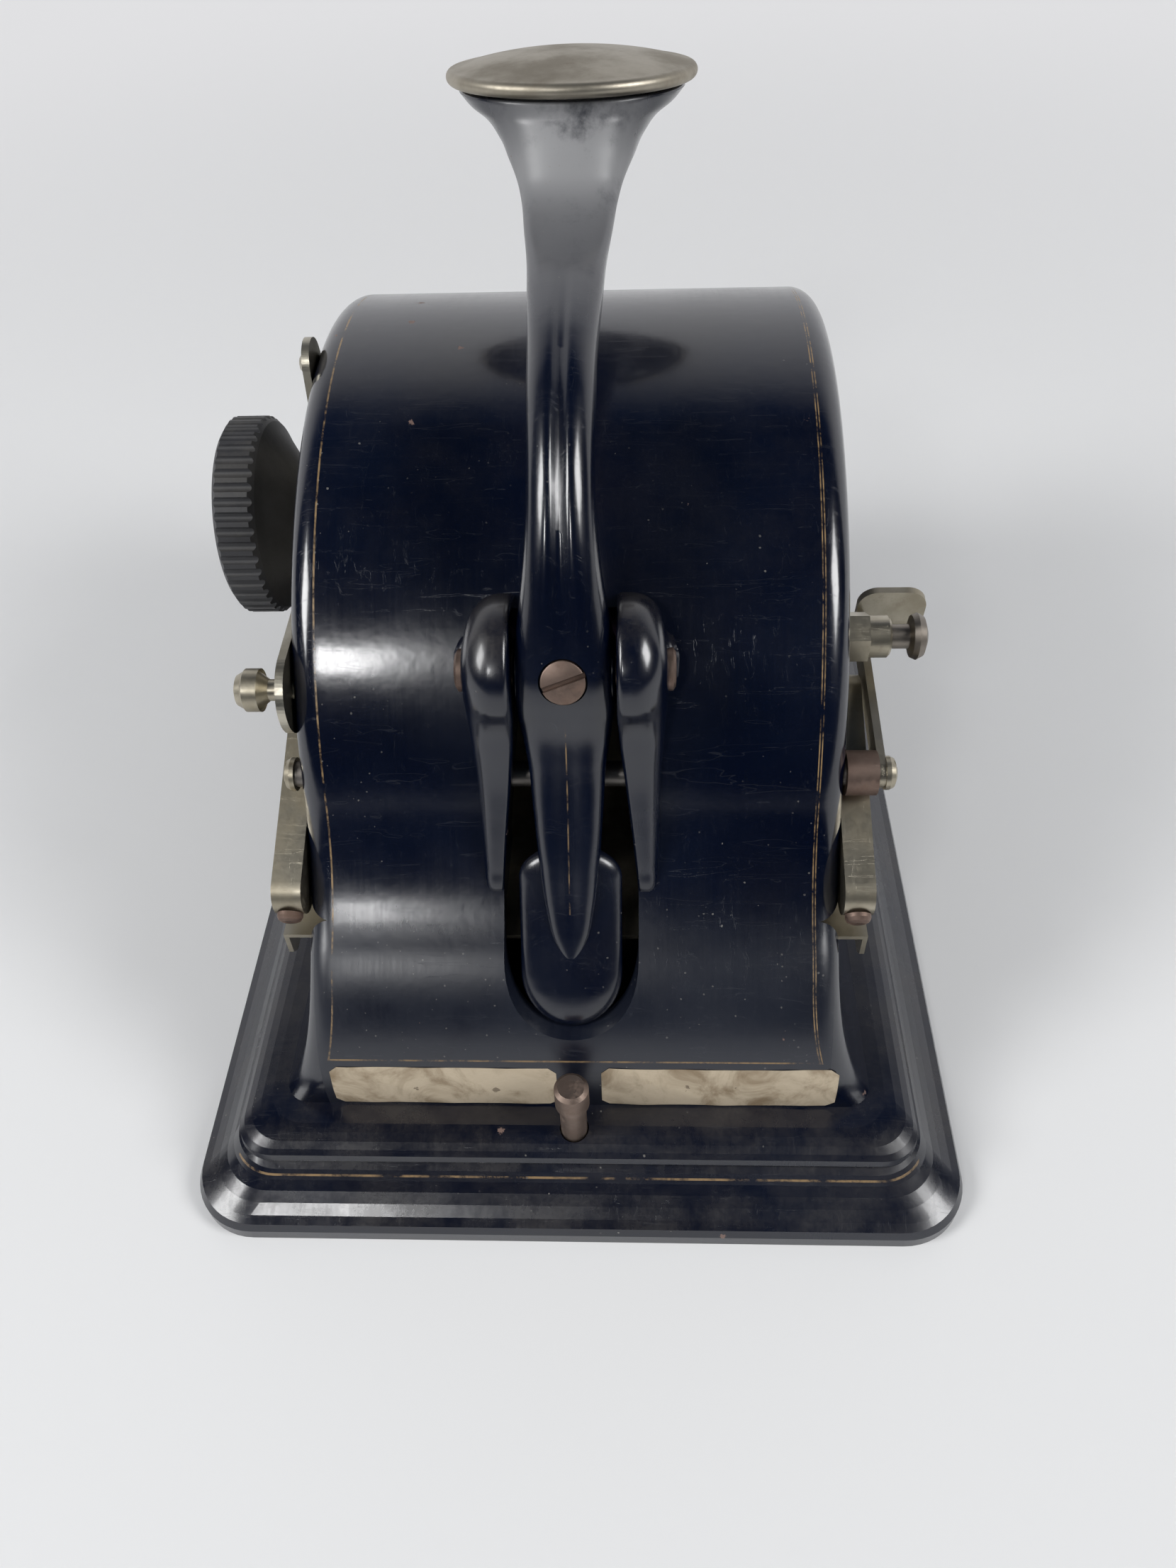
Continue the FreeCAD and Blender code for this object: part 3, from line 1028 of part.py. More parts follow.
def rim_notches(body, reach, radius, count):
    """Cut a ring of round notches whose centres stand at a radius about the body's X axis."""
    notch = body.newObject("Sketcher::SketchObject", "Notch")
    notch.AttachmentSupport = [(plane(body, "YZ_Plane"), "")]
    notch.MapMode = "FlatFace"
    circle = notch.addGeometry(Part.Circle(Vector(0, size(reach), 0), Vector(0, 0, 1), size(radius)))
    bind(notch, "Radius", (circle,), radius)
    bind(notch, "DistanceX", (-1, 1, circle, 3), "0")
    bind(notch, "DistanceY", (-1, 1, circle, 3), reach)
    doc.recompute()
    ring_pattern(body, pocket(body, notch, "NotchCut"), "X_Axis", count)


rim_notches(knob, "Sizes.knob_radius + 0.3", "Sizes.flute_radius", "Sizes.flute_count")


# ---------------------------------------------------------------- detent
STAR_X = "(%s - Sizes.star_reach)" % HOOD_INNER
STAR_OUT = "(%s + Sizes.star_width)" % STAR_X
star = turned("detent_star", [(STAR_X, "Sizes.wheel_shaft_radius"), (STAR_OUT, "Sizes.wheel_shaft_radius"),
                              (STAR_OUT, "Sizes.star_radius"), (STAR_X, "Sizes.star_radius")],
              "Sizes.wheel_y", WHEEL_Z)
rim_notches(star, "Sizes.star_radius + 0.4", "Sizes.star_notch", "Sizes.type_count")


def detent_spring():
    """A leaf screwed to the right wall, shown lifted: its rolled nose is just clear of the star's points."""
    body = new_body("detent_spring")
    front = "(Sizes.wheel_y - 3)"
    back = "(Sizes.wheel_y + Sizes.leaf_back)"
    step = "(%s - Sizes.leaf_tab)" % back
    side = "(%s + Sizes.leaf_width)" % STAR_X
    strip = outline(body, "XY_Plane", [(STAR_X, front), (side, front), (side, step), (HOOD_INNER, step),
                                       (HOOD_INNER, back), (STAR_X, back)], "Strip")
    strip.setExpression(".AttachmentOffset.Base.z", LEAF_Z + " - Sizes.leaf_sheet / 2")
    pad(body, strip, "Sizes.leaf_sheet")
    low = LEAF_Z + " - Sizes.leaf_sheet / 2"
    high = LEAF_Z + " + Sizes.leaf_tab"
    tab = outline(body, "YZ_Plane", [(step, low), (back, low), (back, high), (step, high)], "Tab",
                  [(LEAF_SCREW_Y, LEAF_SCREW_Z, "Sizes.leaf_screw_shank")])
    tab.setExpression(".AttachmentOffset.Base.z", HOOD_INNER + " - Sizes.leaf_sheet")
    pad(body, tab, "Sizes.leaf_sheet", "TabPad")
    nose = body.newObject("PartDesign::AdditiveCylinder", "Nose")
    nose.setExpression("Radius", "Sizes.nose_radius")
    nose.setExpression("Height", "Sizes.star_width")
    nose.Placement.Rotation = FreeCAD.Rotation(Vector(0, 1, 0), 90)
    place(nose, STAR_X, "Sizes.wheel_y", NOSE_Z)
    return body


detent_spring()
screw = round_screw("detent_screw", "Sizes.leaf_screw_radius", "Sizes.leaf_screw_head",
                    "Sizes.leaf_screw_shank", "Sizes.leaf_sheet + 0.7 * Sizes.hood_wall")
screw.Placement.Rotation = FreeCAD.Rotation(Vector(0, 1, 0), -90)
place(screw, HOOD_INNER + " - Sizes.leaf_sheet", LEAF_SCREW_Y, LEAF_SCREW_Z)


# ---------------------------------------------------------------- dial plate, thumb screw
def dial_plate():
    """The sheet on the left wall: a disc round the knob, a lobe to the thumb screw and one above."""
    wheel = (size("Sizes.wheel_y"), size(WHEEL_Z), size("Sizes.dial_radius"))
    thumb = (size("Sizes.thumb_y"), size(THUMB_Z), size("Sizes.thumb_radius") + 4.2)
    pin_z = size(DECK + " + Sizes.plate_pin_rise")
    pin = (size("Sizes.plate_pin_y"), pin_z, size("Sizes.plate_pin_radius") + 3)
    lobe = Part.Face(hull([thumb, (wheel[0] - 12, wheel[1], 12)]))
    tab = Part.Face(hull([pin, (wheel[0], wheel[1] + 8, 12)]))
    disc = Part.Face(Part.Wire(Part.Circle(Vector(0, wheel[0], wheel[1]), Vector(1, 0, 0), wheel[2]).toShape()))
    x = -size(plate_out)
    sheet_metal = size("Sizes.plate_sheet")
    solids = [face.translated(Vector(x, 0, 0)).extrude(Vector(sheet_metal, 0, 0)) for face in (lobe, tab, disc)]
    plate = solids[0].fuse(solids[1:]).removeSplitter()
    run = size("Sizes.running")
    holes = [bore_x(size("Sizes.wheel_shaft_radius") + run, wheel[0], wheel[1], x - 5, x + 5),
             bore_x(size("Sizes.thumb_neck") + run, thumb[0], thumb[1], x - 5, x + 5),
             bore_x(size("Sizes.plate_pin_radius") / 2, pin[0], pin[1], x - 5, x + 5)]
    return plate.cut(holes)


shaped("dial_plate", dial_plate())
turned("dial_plate_pin", [
    ("-%s" % plate_out, "0"), ("-%s + Sizes.plate_sheet" % plate_out, "0"),
    ("-%s + Sizes.plate_sheet" % plate_out, "Sizes.plate_pin_radius / 2"),
    ("-%s" % plate_out, "Sizes.plate_pin_radius / 2"), ("-%s" % plate_out, "Sizes.plate_pin_radius"),
    ("-%s - 0.8" % plate_out, "Sizes.plate_pin_radius"),
    ("-%s - 1.5" % plate_out, "Sizes.plate_pin_radius * 0.6"),
    ("-%s - 1.5" % plate_out, "0")], "Sizes.plate_pin_y", DECK + " + Sizes.plate_pin_rise")
thumb_out = "(%s + Sizes.thumb_length)" % plate_out
thumb_cone = "(%s + 3.4)" % plate_out
turned("thumb_screw", [
    ("-%s + 1.5" % HOOD_INNER, "0"), ("-%s + 1.5" % HOOD_INNER, "Sizes.thumb_neck"),
    ("-%s" % thumb_cone, "Sizes.thumb_neck"), ("-%s - 2.2" % thumb_cone, "Sizes.thumb_radius - 0.5"),
    ("-%s + 2.4 + Sizes.thumb_band" % thumb_out, "Sizes.thumb_radius"),
    ("-%s + 2.4" % thumb_out, "Sizes.thumb_radius"), ("-%s + 2.0" % thumb_out, "Sizes.thumb_radius - 0.5"),
    ("-%s + 0.7" % thumb_out, "Sizes.thumb_radius * 0.72"), ("-%s" % thumb_out, "Sizes.thumb_radius * 0.3"),
    ("-%s" % thumb_out, "0")], "Sizes.thumb_y", THUMB_Z)


# ---------------------------------------------------------------- ink roller
bushing_in = HOOD_HALF
hex_out = "(%s + Sizes.bushing_length)" % HOOD_HALF
collar_out = "(%s + Sizes.bushing_collar_length)" % hex_out
stem_out = "(%s + Sizes.spindle_reach)" % collar_out
mushroom_out = "(%s + Sizes.mushroom_length)" % stem_out
end_of_roller = ROLLER_HALF
turned("roller_core", [
    ("-%s" % end_of_roller, "Sizes.spindle_radius + Sizes.running"),
    (end_of_roller, "Sizes.spindle_radius + Sizes.running"), (end_of_roller, "Sizes.roller_core"),
    ("-%s" % end_of_roller, "Sizes.roller_core")], ROLLER_Y, WHEEL_Z)
turned("ink_roller", [
    ("-%s + 1" % end_of_roller, "Sizes.roller_core"), ("%s - 1" % end_of_roller, "Sizes.roller_core"),
    ("%s - 1" % end_of_roller, "Sizes.roller_radius"), ("-%s + 1" % end_of_roller, "Sizes.roller_radius")],
    ROLLER_Y, WHEEL_Z)
rod("roller_journal", "-" + HOOD_HALF, "-%s + 10" % end_of_roller, "Sizes.spindle_radius",
    ROLLER_Y, WHEEL_Z)
hexagon = new_body("roller_bushing")
hex_points = []
for k in range(6):
    hex_points.append(("Sizes.bushing_hex / 2 * cos(%d deg)" % (60 * k + 30),
                       "Sizes.bushing_hex / 2 * sin(%d deg)" % (60 * k + 30)))
hex_sketch = outline(hexagon, "YZ_Plane", hex_points, "Hexagon",
                     [("0", "0", "Sizes.spindle_radius + Sizes.running")])
pad(hexagon, hex_sketch, "Sizes.bushing_length")
collar_sketch = outline(hexagon, "XZ_Plane", [
    ("-Sizes.hood_wall", "Sizes.spindle_radius + Sizes.running"),
    ("Sizes.bushing_length + Sizes.bushing_collar_length", "Sizes.spindle_radius + Sizes.running"),
    ("Sizes.bushing_length + Sizes.bushing_collar_length", "Sizes.bushing_collar - 0.5"),
    ("Sizes.bushing_length + Sizes.bushing_collar_length - 0.5", "Sizes.bushing_collar"),
    ("-Sizes.hood_wall", "Sizes.bushing_collar")], "Collar")
revolve(hexagon, collar_sketch, "H_Axis")
place(hexagon, bushing_in, ROLLER_Y, WHEEL_Z)
turned("roller_spindle", [
    ("%s - 12" % end_of_roller, "0"), (mushroom_out, "0"), (mushroom_out, "Sizes.mushroom_radius * 0.45"),
    ("%s - 0.7" % mushroom_out, "Sizes.mushroom_radius * 0.85"),
    ("%s - Sizes.mushroom_length * 0.55" % mushroom_out, "Sizes.mushroom_radius"),
    ("%s + 0.6" % stem_out, "Sizes.mushroom_radius * 0.9"), (stem_out, "Sizes.spindle_radius"),
    ("%s - 12" % end_of_roller, "Sizes.spindle_radius")], ROLLER_Y, WHEEL_Z)


# ---------------------------------------------------------------- paper clamp
clamp_out = "(%s + Sizes.thumb_arm)" % CLAMP_ARM_X
rod("clamp_shaft", "-%s - 1.4" % HOOD_HALF, clamp_out, "Sizes.clamp_radius", "Sizes.clamp_y", CLAMP_Z)
turned("clamp_spacer", [
    ("%s + Sizes.side_play" % HOOD_HALF, "Sizes.clamp_radius"), (CLAMP_ARM_X, "Sizes.clamp_radius"),
    (CLAMP_ARM_X, "Sizes.clamp_radius + 1.9"),
    ("%s + Sizes.side_play" % HOOD_HALF, "Sizes.clamp_radius + 1.9")], "Sizes.clamp_y", CLAMP_Z)
for label, x, turn in (("clamp_screw_left", "-%s - 1.4" % HOOD_HALF, -90),
                       ("clamp_screw_right", clamp_out, 90)):
    screw = new_body(label)
    head = "Sizes.clamp_screw_head"
    radius = "Sizes.clamp_screw_radius"
    revolve(screw, outline(screw, "XZ_Plane", [
        ("0", "0"), (radius, "0"), (radius, "%s * 0.4" % head), ("%s * 0.86" % radius, "%s * 0.8" % head),
        ("%s * 0.55" % radius, head), ("0", head)], "Profile"), "V_Axis")
    doc.recompute()
    slotted_head(screw, radius, head)
    screw.Placement.Rotation = FreeCAD.Rotation(Vector(0, 1, 0), turn)
    place(screw, x, "Sizes.clamp_y", CLAMP_Z)


def clamp_finger(label, x):
    """A finger brazed to the back of the clamp shaft, whose tip presses the paper."""
    body = new_body(label)
    tip = "(%s + 1.3 - %s)" % (THROAT_TOP, CLAMP_Z)
    sketch = outline(body, "YZ_Plane", [
        ("Sizes.clamp_radius * 0.4", "-Sizes.clamp_radius * 0.9165"), ("1.5", "-4.6"),
        ("Sizes.finger_reach - 6", tip), ("Sizes.finger_reach", tip, "-1.8"),
        ("Sizes.finger_reach", tip + " + 3"), ("8", "-2"), ("5.4", "2"), ("1.5", "4.4"),
        ("Sizes.clamp_radius * 0.4", "Sizes.clamp_radius * 0.9165", "Sizes.clamp_radius")], "Outline")
    pad(body, sketch, "Sizes.finger_width")
    place(body, x, "Sizes.clamp_y", CLAMP_Z)
    return body


clamp_finger("clamp_finger_left", "-Sizes.finger_x - Sizes.finger_width / 2")
clamp_finger("clamp_finger_right", "Sizes.finger_x - Sizes.finger_width / 2")


def thumb_lever():
    """The stamped arm on the right that lifts the clamp, with its end bent out as a tab."""
    body = new_body("thumb_lever")
    high = "Sizes.thumb_arm_half_height"
    corners = [("0", "-" + high), ("Sizes.thumb_arm_length + 0.8", "-" + high),
               ("Sizes.thumb_arm_length + 0.8", high), ("0", high, "-" + high, "0")]
    pad(body, outline(body, "YZ_Plane", corners, "Arm", [("0", "0", "Sizes.clamp_radius")]), "Sizes.thumb_arm")
    wide = "Sizes.thumb_tab_width"
    low = "(-%s)" % high
    top = "(Sizes.thumb_tab_depth - %s)" % high
    tab = outline(body, "XZ_Plane", [
        ("0", low), (wide + " - 4.5", low, "-4.5"), (wide, low + " + 4.5"),
        (wide, top + " - 4.5", "-4.5"), (wide + " - 4.5", top), ("4", top, "-4"), ("0", top + " - 4")], "Tab")
    tab.setExpression(".AttachmentOffset.Base.z", "-Sizes.thumb_arm_length")
    bent = body.newObject("PartDesign::Pad", "TabPad")
    bent.Profile = tab
    bent.Reversed = True
    bent.setExpression("Length", "Sizes.thumb_arm")
    tab.Visibility = False
    turn_about_x(body, "Sizes.thumb_arm_angle")
    place(body, CLAMP_ARM_X, "Sizes.clamp_y", CLAMP_Z)
    return body


thumb_lever()


# ---------------------------------------------------------------- guide bars
def guide_bar(label, x):
    """A nickelled bar on the wall beside the throat, one end round, rising to the back."""
    body = new_body(label)
    corners = slot_corners("0", "0", "Sizes.bar_length", "Sizes.bar_radius")
    pad(body, outline(body, "YZ_Plane", corners, "Outline"), "Sizes.bar_width")
    turn_about_x(body, "Sizes.bar_angle")
    place(body, x, "Sizes.bar_y", DECK + " + Sizes.bar_rise")
    return body


guide_bar("guide_bar_left", "-%s - Sizes.bar_width" % HOOD_HALF)
guide_bar("guide_bar_right", HOOD_HALF)
for label, side in (("guide_screw_left", -1), ("guide_screw_right", 1)):
    screw = round_screw(label, "Sizes.bar_screw_radius", "Sizes.bar_screw_head", "1.2", "0.01")
    turn_about_x(screw, "90 + Sizes.bar_screw_angle")
    place(screw, "%d * (%s + Sizes.bar_width / 2)" % (side, HOOD_HALF),
          "Sizes.bar_y - (Sizes.bar_radius + 0.01) * cos(Sizes.bar_screw_angle * 1 deg)",
          "%s + Sizes.bar_rise - (Sizes.bar_radius + 0.01) * sin(Sizes.bar_screw_angle * 1 deg)" % DECK)


# ---------------------------------------------------------------- paper table
def paper_table():
    """The sheet the cheque slides on, with a window for the platen and two lips at the front."""
    body = new_body("paper_table")
    low = "(%s - Sizes.table_sheet)" % TABLE_TOP
    y0 = "(Sizes.throat_front + 0.8)"
    y1 = "(Sizes.throat_back - 0.3)"
    half = TABLE_HALF
    notch = "9"
    corners = [("-" + half, y0), ("-" + notch, y0), ("-" + notch, y0 + " + 13"), (notch, y0 + " + 13"),
               (notch, y0), (half, y0), (half, y1), ("-" + half, y1)]
    flat = outline(body, "XY_Plane", corners, "Sheet")
    flat.setExpression(".AttachmentOffset.Base.z", low)
    pad(body, flat, "Sizes.table_sheet")
    lip_low = "(%s - Sizes.table_lip)" % low
    for side, name in ((-1, "Left"), (1, "Right")):
        a = "%d * %s" % (side, half)
        b = "%d * (%s - Sizes.table_sheet)" % (side, half)
        lip = outline(body, "YZ_Plane", [
            (y0, "%s + 2" % lip_low), (y0 + " + 2", lip_low), (y0 + " + Sizes.table_lip_width", lip_low),
            (y0 + " + Sizes.table_lip_width", low), (y0, low)], name + "Lip")
        lip.setExpression(".AttachmentOffset.Base.z", a if side < 0 else b)
        pad(body, lip, "Sizes.table_sheet", name + "LipPad")
    doc.recompute()
    x = "(%s + Sizes.side_play + 0.3)" % PLATEN_HALF
    deep = "(Sizes.platen_half_depth + Sizes.side_play + 0.3)"
    window = outline(body, "XY_Plane", [
        ("-" + x, "Sizes.wheel_y - " + deep), (x, "Sizes.wheel_y - " + deep),
        (x, "Sizes.wheel_y + " + deep), ("-" + x, "Sizes.wheel_y + " + deep)], "Window")
    pocket(body, window, "WindowCut")
    return body


paper_table()


# ---------------------------------------------------------------- bottom plate and release pin
def bottom_plate():
    """The sheet that closes the base: it hangs on two tongues behind and the pin frees its front."""
    body = new_body("bottom_plate")
    x = "(Sizes.base_width / 2 - Sizes.bottom_inset)"
    y = "(Sizes.base_depth / 2 - Sizes.bottom_inset)"
    c = "(Sizes.rim_corner - 4)"
    back = BOTTOM_BACK
    corners = [("-%s + %s" % (x, c), "-" + y), ("%s - %s" % (x, c), "-" + y, "-" + c),
               (x, "-%s + %s" % (y, c)), (x, "%s - %s" % (back, c), "-" + c),
               ("%s - %s" % (x, c), back)]
    for side in (1, -1):
        a = "(%d * Sizes.tongue_x + Sizes.tongue_width / 2)" % side
        b = "(%d * Sizes.tongue_x - Sizes.tongue_width / 2)" % side
        corners += [(a, back), (a, TONGUE_TIP), (b, TONGUE_TIP), (b, back)]
    corners += [("-%s + %s" % (x, c), back, "-" + c),
                ("-" + x, "%s - %s" % (back, c)), ("-" + x, "-%s + %s" % (y, c), "-" + c)]
    flat = outline(body, "XY_Plane", corners, "Sheet")
    pad(body, flat, "Sizes.bottom_sheet")
    for side in (1, -1):
        roll = body.newObject("PartDesign::AdditiveCylinder", "Roll")
        roll.setExpression("Radius", "Sizes.tongue_roll")
        roll.setExpression("Height", "Sizes.tongue_width")
        roll.Placement.Rotation = FreeCAD.Rotation(Vector(0, 1, 0), 90)
        place(roll, "%d * Sizes.tongue_x - Sizes.tongue_width / 2" % side, BOTTOM_BACK + " + 0.5",
              "Sizes.bottom_sheet / 2")
    place(body, "0", "0", "Sizes.bottom_lift")
    return body


bottom_plate()
corner_names = [("front_left", -1, -1), ("front_right", 1, -1), ("back_left", -1, 1), ("back_right", 1, 1)]
for name, sx, sy in corner_names:
    upright("hood_screw_" + name, [
        ("0", FLANGE_TOP + " - 1.8"), ("Sizes.hood_screw_head", FLANGE_TOP + " - 1.8"),
        ("Sizes.hood_screw_head", FLANGE_TOP), ("Sizes.hood_screw_shank", FLANGE_TOP),
        ("Sizes.hood_screw_shank", DECK + " + 5"), ("0", DECK + " + 5")],
        "%d * %s" % (sx, HOOD_SCREW_X), "%d * Sizes.hood_screw_y" % sy)

    upright("frame_screw_" + name, [
        ("0", FLANGE_LOW + " - 1.6"), ("Sizes.frame_screw_head", FLANGE_LOW + " - 1.6"),
        ("Sizes.frame_screw_head", FLANGE_LOW), ("Sizes.frame_screw_shank", FLANGE_LOW),
        ("Sizes.frame_screw_shank", FLANGE_TOP + " + Sizes.frame_screw_bite"),
        ("0", FLANGE_TOP + " + Sizes.frame_screw_bite")],
        "%d * %s" % (sx, FRAME_SCREW_X), "Sizes.crank_y + %d * %s" % (sy, FRAME_SCREW_REACH))

RELEASE_Y = "(%s + Sizes.release_from_front)" % FRONT
RELEASE_TOP = "(%s + Sizes.release_rise)" % DECK
HEAD_LOW = "(%s - Sizes.release_head_rise)" % RELEASE_TOP
COLLAR_TOP = "(%s - 0.1)" % FLANGE_TOP
upright("release_pin", [
    ("0", "Sizes.release_low"), ("Sizes.release_shaft / 2", "Sizes.release_low"),
    ("Sizes.release_shaft / 2", COLLAR_TOP + " - 1.5"), ("Sizes.release_collar / 2", COLLAR_TOP + " - 1.5"),
    ("Sizes.release_collar / 2", COLLAR_TOP), ("Sizes.release_shaft / 2", COLLAR_TOP),
    ("Sizes.release_shaft / 2", HEAD_LOW), ("Sizes.release_head / 2", HEAD_LOW),
    ("Sizes.release_head / 2", RELEASE_TOP + " - 0.8"),
    ("Sizes.release_head / 2 - 0.8", RELEASE_TOP), ("0", RELEASE_TOP)], "0", RELEASE_Y)
bracket = new_body("release_bracket")
half = "Sizes.bracket_half_width"
low = "Sizes.bracket_low"
up = "(Sizes.bracket_low + Sizes.bracket_sheet)"
section = outline(bracket, "XZ_Plane", [
    ("-" + half, low), (half, low), (half, FLANGE_TOP), (half + " - Sizes.bracket_sheet", FLANGE_TOP),
    (half + " - Sizes.bracket_sheet", up), ("-%s + Sizes.bracket_sheet" % half, up),
    ("-%s + Sizes.bracket_sheet" % half, FLANGE_TOP), ("-" + half, FLANGE_TOP)], "Section")
pad(bracket, section, "7.4").SideType = "Symmetric"
doc.recompute()
ring = bracket.newObject("Sketcher::SketchObject", "Bore")
ring.AttachmentSupport = [(plane(bracket, "XY_Plane"), "")]
ring.MapMode = "FlatFace"
circle = ring.addGeometry(Part.Circle(Vector(0, 0, 0), Vector(0, 0, 1), 2.8))
bind(ring, "Radius", (circle,), "Sizes.release_shaft / 2 + Sizes.side_play")
ring.addConstraint(Sketcher.Constraint("Coincident", circle, 3, -1, 1))
pocket(bracket, ring, "PinBore")
place(bracket, "0", RELEASE_Y, "0")


def coil(label, radius, wire, length, turns, x, y, z, along_x=False):
    """An open coil spring with its axis upright, or along X."""
    helix = Part.makeLongHelix((length - 2 * wire) / turns, length - 2 * wire, radius)
    corner = wire / math.cos(math.pi / 6) ** 0.5
    spots = []
    for k in range(7):
        a = math.radians(60 * k + 30)
        spots.append(Vector(radius + corner * math.cos(a), 0, corner * math.sin(a)))
    spring = Part.Wire(helix).makePipeShell([Part.makePolygon(spots)], True, True)
    spring.translate(Vector(0, 0, wire))
    if along_x:
        spring.rotate(Vector(0, 0, 0), Vector(0, 1, 0), 90)
    spring.translate(Vector(x, y, z))
    return shaped(label, spring)


low = size("Sizes.bracket_low + Sizes.bracket_sheet")
coil("release_spring", size("Sizes.release_shaft / 2 + Sizes.side_play + Sizes.wire"), size("Sizes.wire / 2"),
     size(COLLAR_TOP) - 1.6 - low - 0.1, 4, 0, size(RELEASE_Y), low + 0.05)
coil("return_spring", size("Sizes.crank_shaft_radius + Sizes.wire + 0.1"), size("Sizes.wire / 2"), 12.0, 9,
     size("Sizes.lug_inner + Sizes.crank_width") + 0.3, size("Sizes.crank_y"), size(CRANK_Z), True)


# ---------------------------------------------------------------- check and write
doc.recompute()
pieces = [item for item in doc.Objects
          if item.TypeId in ("PartDesign::Body", "Part::Feature")]
for item in doc.Objects:
    if "Invalid" in item.State or "Error" in item.State:
        raise RuntimeError("failed: %s %s" % (item.Label, item.State))
for piece in pieces:
    if piece.Shape.isNull() or not piece.Shape.isValid() or not piece.Shape.Solids:
        raise RuntimeError("no sound solid: " + piece.Label)
os.makedirs("parts", exist_ok=True)
for piece in pieces:
    piece.Shape.exportStep("parts/%s.step" % piece.Label)
    print(piece.Label, len(piece.Shape.Solids), "%.1f" % piece.Shape.Volume)
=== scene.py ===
# %% [markdown]
# # A desk check writer, dressed in Blender
# The machine is a cast base, a curved hood on it, and one long hand lever over the top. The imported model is
# loaded as a fixed frame, in metres, so each new piece can be worked out in the same coordinates: X to the
# right, Y from the front edge to the back, Z up, with the origin in the middle of the footprint.

# %% Load the frame
import json
import math
import bmesh
import bpy
import numpy as np
from mathutils import Matrix, Vector


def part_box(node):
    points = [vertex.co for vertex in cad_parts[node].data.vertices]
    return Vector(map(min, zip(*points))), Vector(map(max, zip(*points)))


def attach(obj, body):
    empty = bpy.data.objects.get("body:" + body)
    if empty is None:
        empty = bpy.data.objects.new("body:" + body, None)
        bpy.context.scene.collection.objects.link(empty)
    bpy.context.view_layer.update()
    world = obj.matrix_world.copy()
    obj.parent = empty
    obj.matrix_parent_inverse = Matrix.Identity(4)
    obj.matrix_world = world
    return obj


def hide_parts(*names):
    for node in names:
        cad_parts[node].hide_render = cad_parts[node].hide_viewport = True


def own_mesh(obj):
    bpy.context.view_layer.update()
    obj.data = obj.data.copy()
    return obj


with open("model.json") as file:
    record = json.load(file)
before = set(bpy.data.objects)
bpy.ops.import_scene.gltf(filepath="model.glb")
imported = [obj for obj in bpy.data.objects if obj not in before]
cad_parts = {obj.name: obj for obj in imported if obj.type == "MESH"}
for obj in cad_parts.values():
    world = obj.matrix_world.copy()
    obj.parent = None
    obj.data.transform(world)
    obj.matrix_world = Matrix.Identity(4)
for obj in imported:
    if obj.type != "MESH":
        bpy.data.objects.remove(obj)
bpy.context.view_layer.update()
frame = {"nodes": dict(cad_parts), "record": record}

MM = 0.001
node = frame["nodes"]

# %% [markdown]
# ## The camera
# The machine is seen from in front and above, from quite near, so upright lines lean together. A camera is
# its place and three unit directions: right, up and straight ahead. Written as the columns of a matrix they
# say it more exactly than a target that has to be tracked.

# %% The camera
YAW, PITCH, ROLL = math.radians(3.39), math.radians(46.53), math.radians(-2.57)
CAMERA_PLACE = np.array([13.0, -225.3, 246.4]) * MM
FOCAL, TALL, SENSOR = 1661.5, 2212, 36.0
level_ahead = np.array([-math.sin(YAW), math.cos(YAW), 0.0])
level_right = np.array([math.cos(YAW), math.sin(YAW), 0.0])
plumb = np.array([0.0, 0.0, 1.0])
ahead = level_ahead * math.cos(PITCH) - plumb * math.sin(PITCH)
head_up = level_ahead * math.sin(PITCH) + plumb * math.cos(PITCH)
right = level_right * math.cos(ROLL) + head_up * math.sin(ROLL)
top = head_up * math.cos(ROLL) - level_right * math.sin(ROLL)
camera = bpy.data.objects.new("camera", bpy.data.cameras.new("camera"))
bpy.context.scene.collection.objects.link(camera)
turn = np.eye(4)
turn[:3, 0], turn[:3, 1], turn[:3, 2] = right, top, -ahead
turn[:3, 3] = CAMERA_PLACE
camera.matrix_world = Matrix(turn.tolist())
camera.data.sensor_width = SENSOR
camera.data.lens = SENSOR * FOCAL / TALL
camera.data.clip_start = 0.01
bpy.context.scene.camera = camera
print("lens in mm:", round(camera.data.lens, 2))

# %% [markdown]
# ## From points to pieces
# Every shape below is first an array of points, worked out by a formula for all points at once. These helpers
# turn it into a mesh: a grid of points becomes quads, a profile is carried round an axis, and a cutter is
# taken out of a piece at once, so that no live modifier is left.


# %% Helpers for meshes
def mesh_object(name, points, faces):
    """A mesh object at the origin from an array of points in mm and a list or array of faces."""
    mesh = bpy.data.meshes.new(name)
    mesh.from_pydata((np.asarray(points, float).reshape(-1, 3) * MM).tolist(), [],
                     faces if isinstance(faces, list) else faces.tolist())
    mesh.update()
    obj = bpy.data.objects.new(name, mesh)
    bpy.context.scene.collection.objects.link(obj)
    return obj


def grid_faces(rows, cols, loop_cols=False, start=0):
    """Quads between neighbours of a rows x cols grid, wrapped round where its columns close."""
    r, c = np.meshgrid(np.arange(rows - 1), np.arange(cols if loop_cols else cols - 1), indexing="ij")
    r2, c2 = r + 1, (c + 1) % cols
    quads = np.stack([r * cols + c, r * cols + c2, r2 * cols + c2, r2 * cols + c], -1)
    return quads.reshape(-1, 4) + start


def smooth(obj, sharp):
    """Shades smooth and keeps edges over the angle sharp."""
    obj.data.shade_smooth()
    obj.data.set_sharp_from_angle(angle=math.radians(sharp))
    return obj


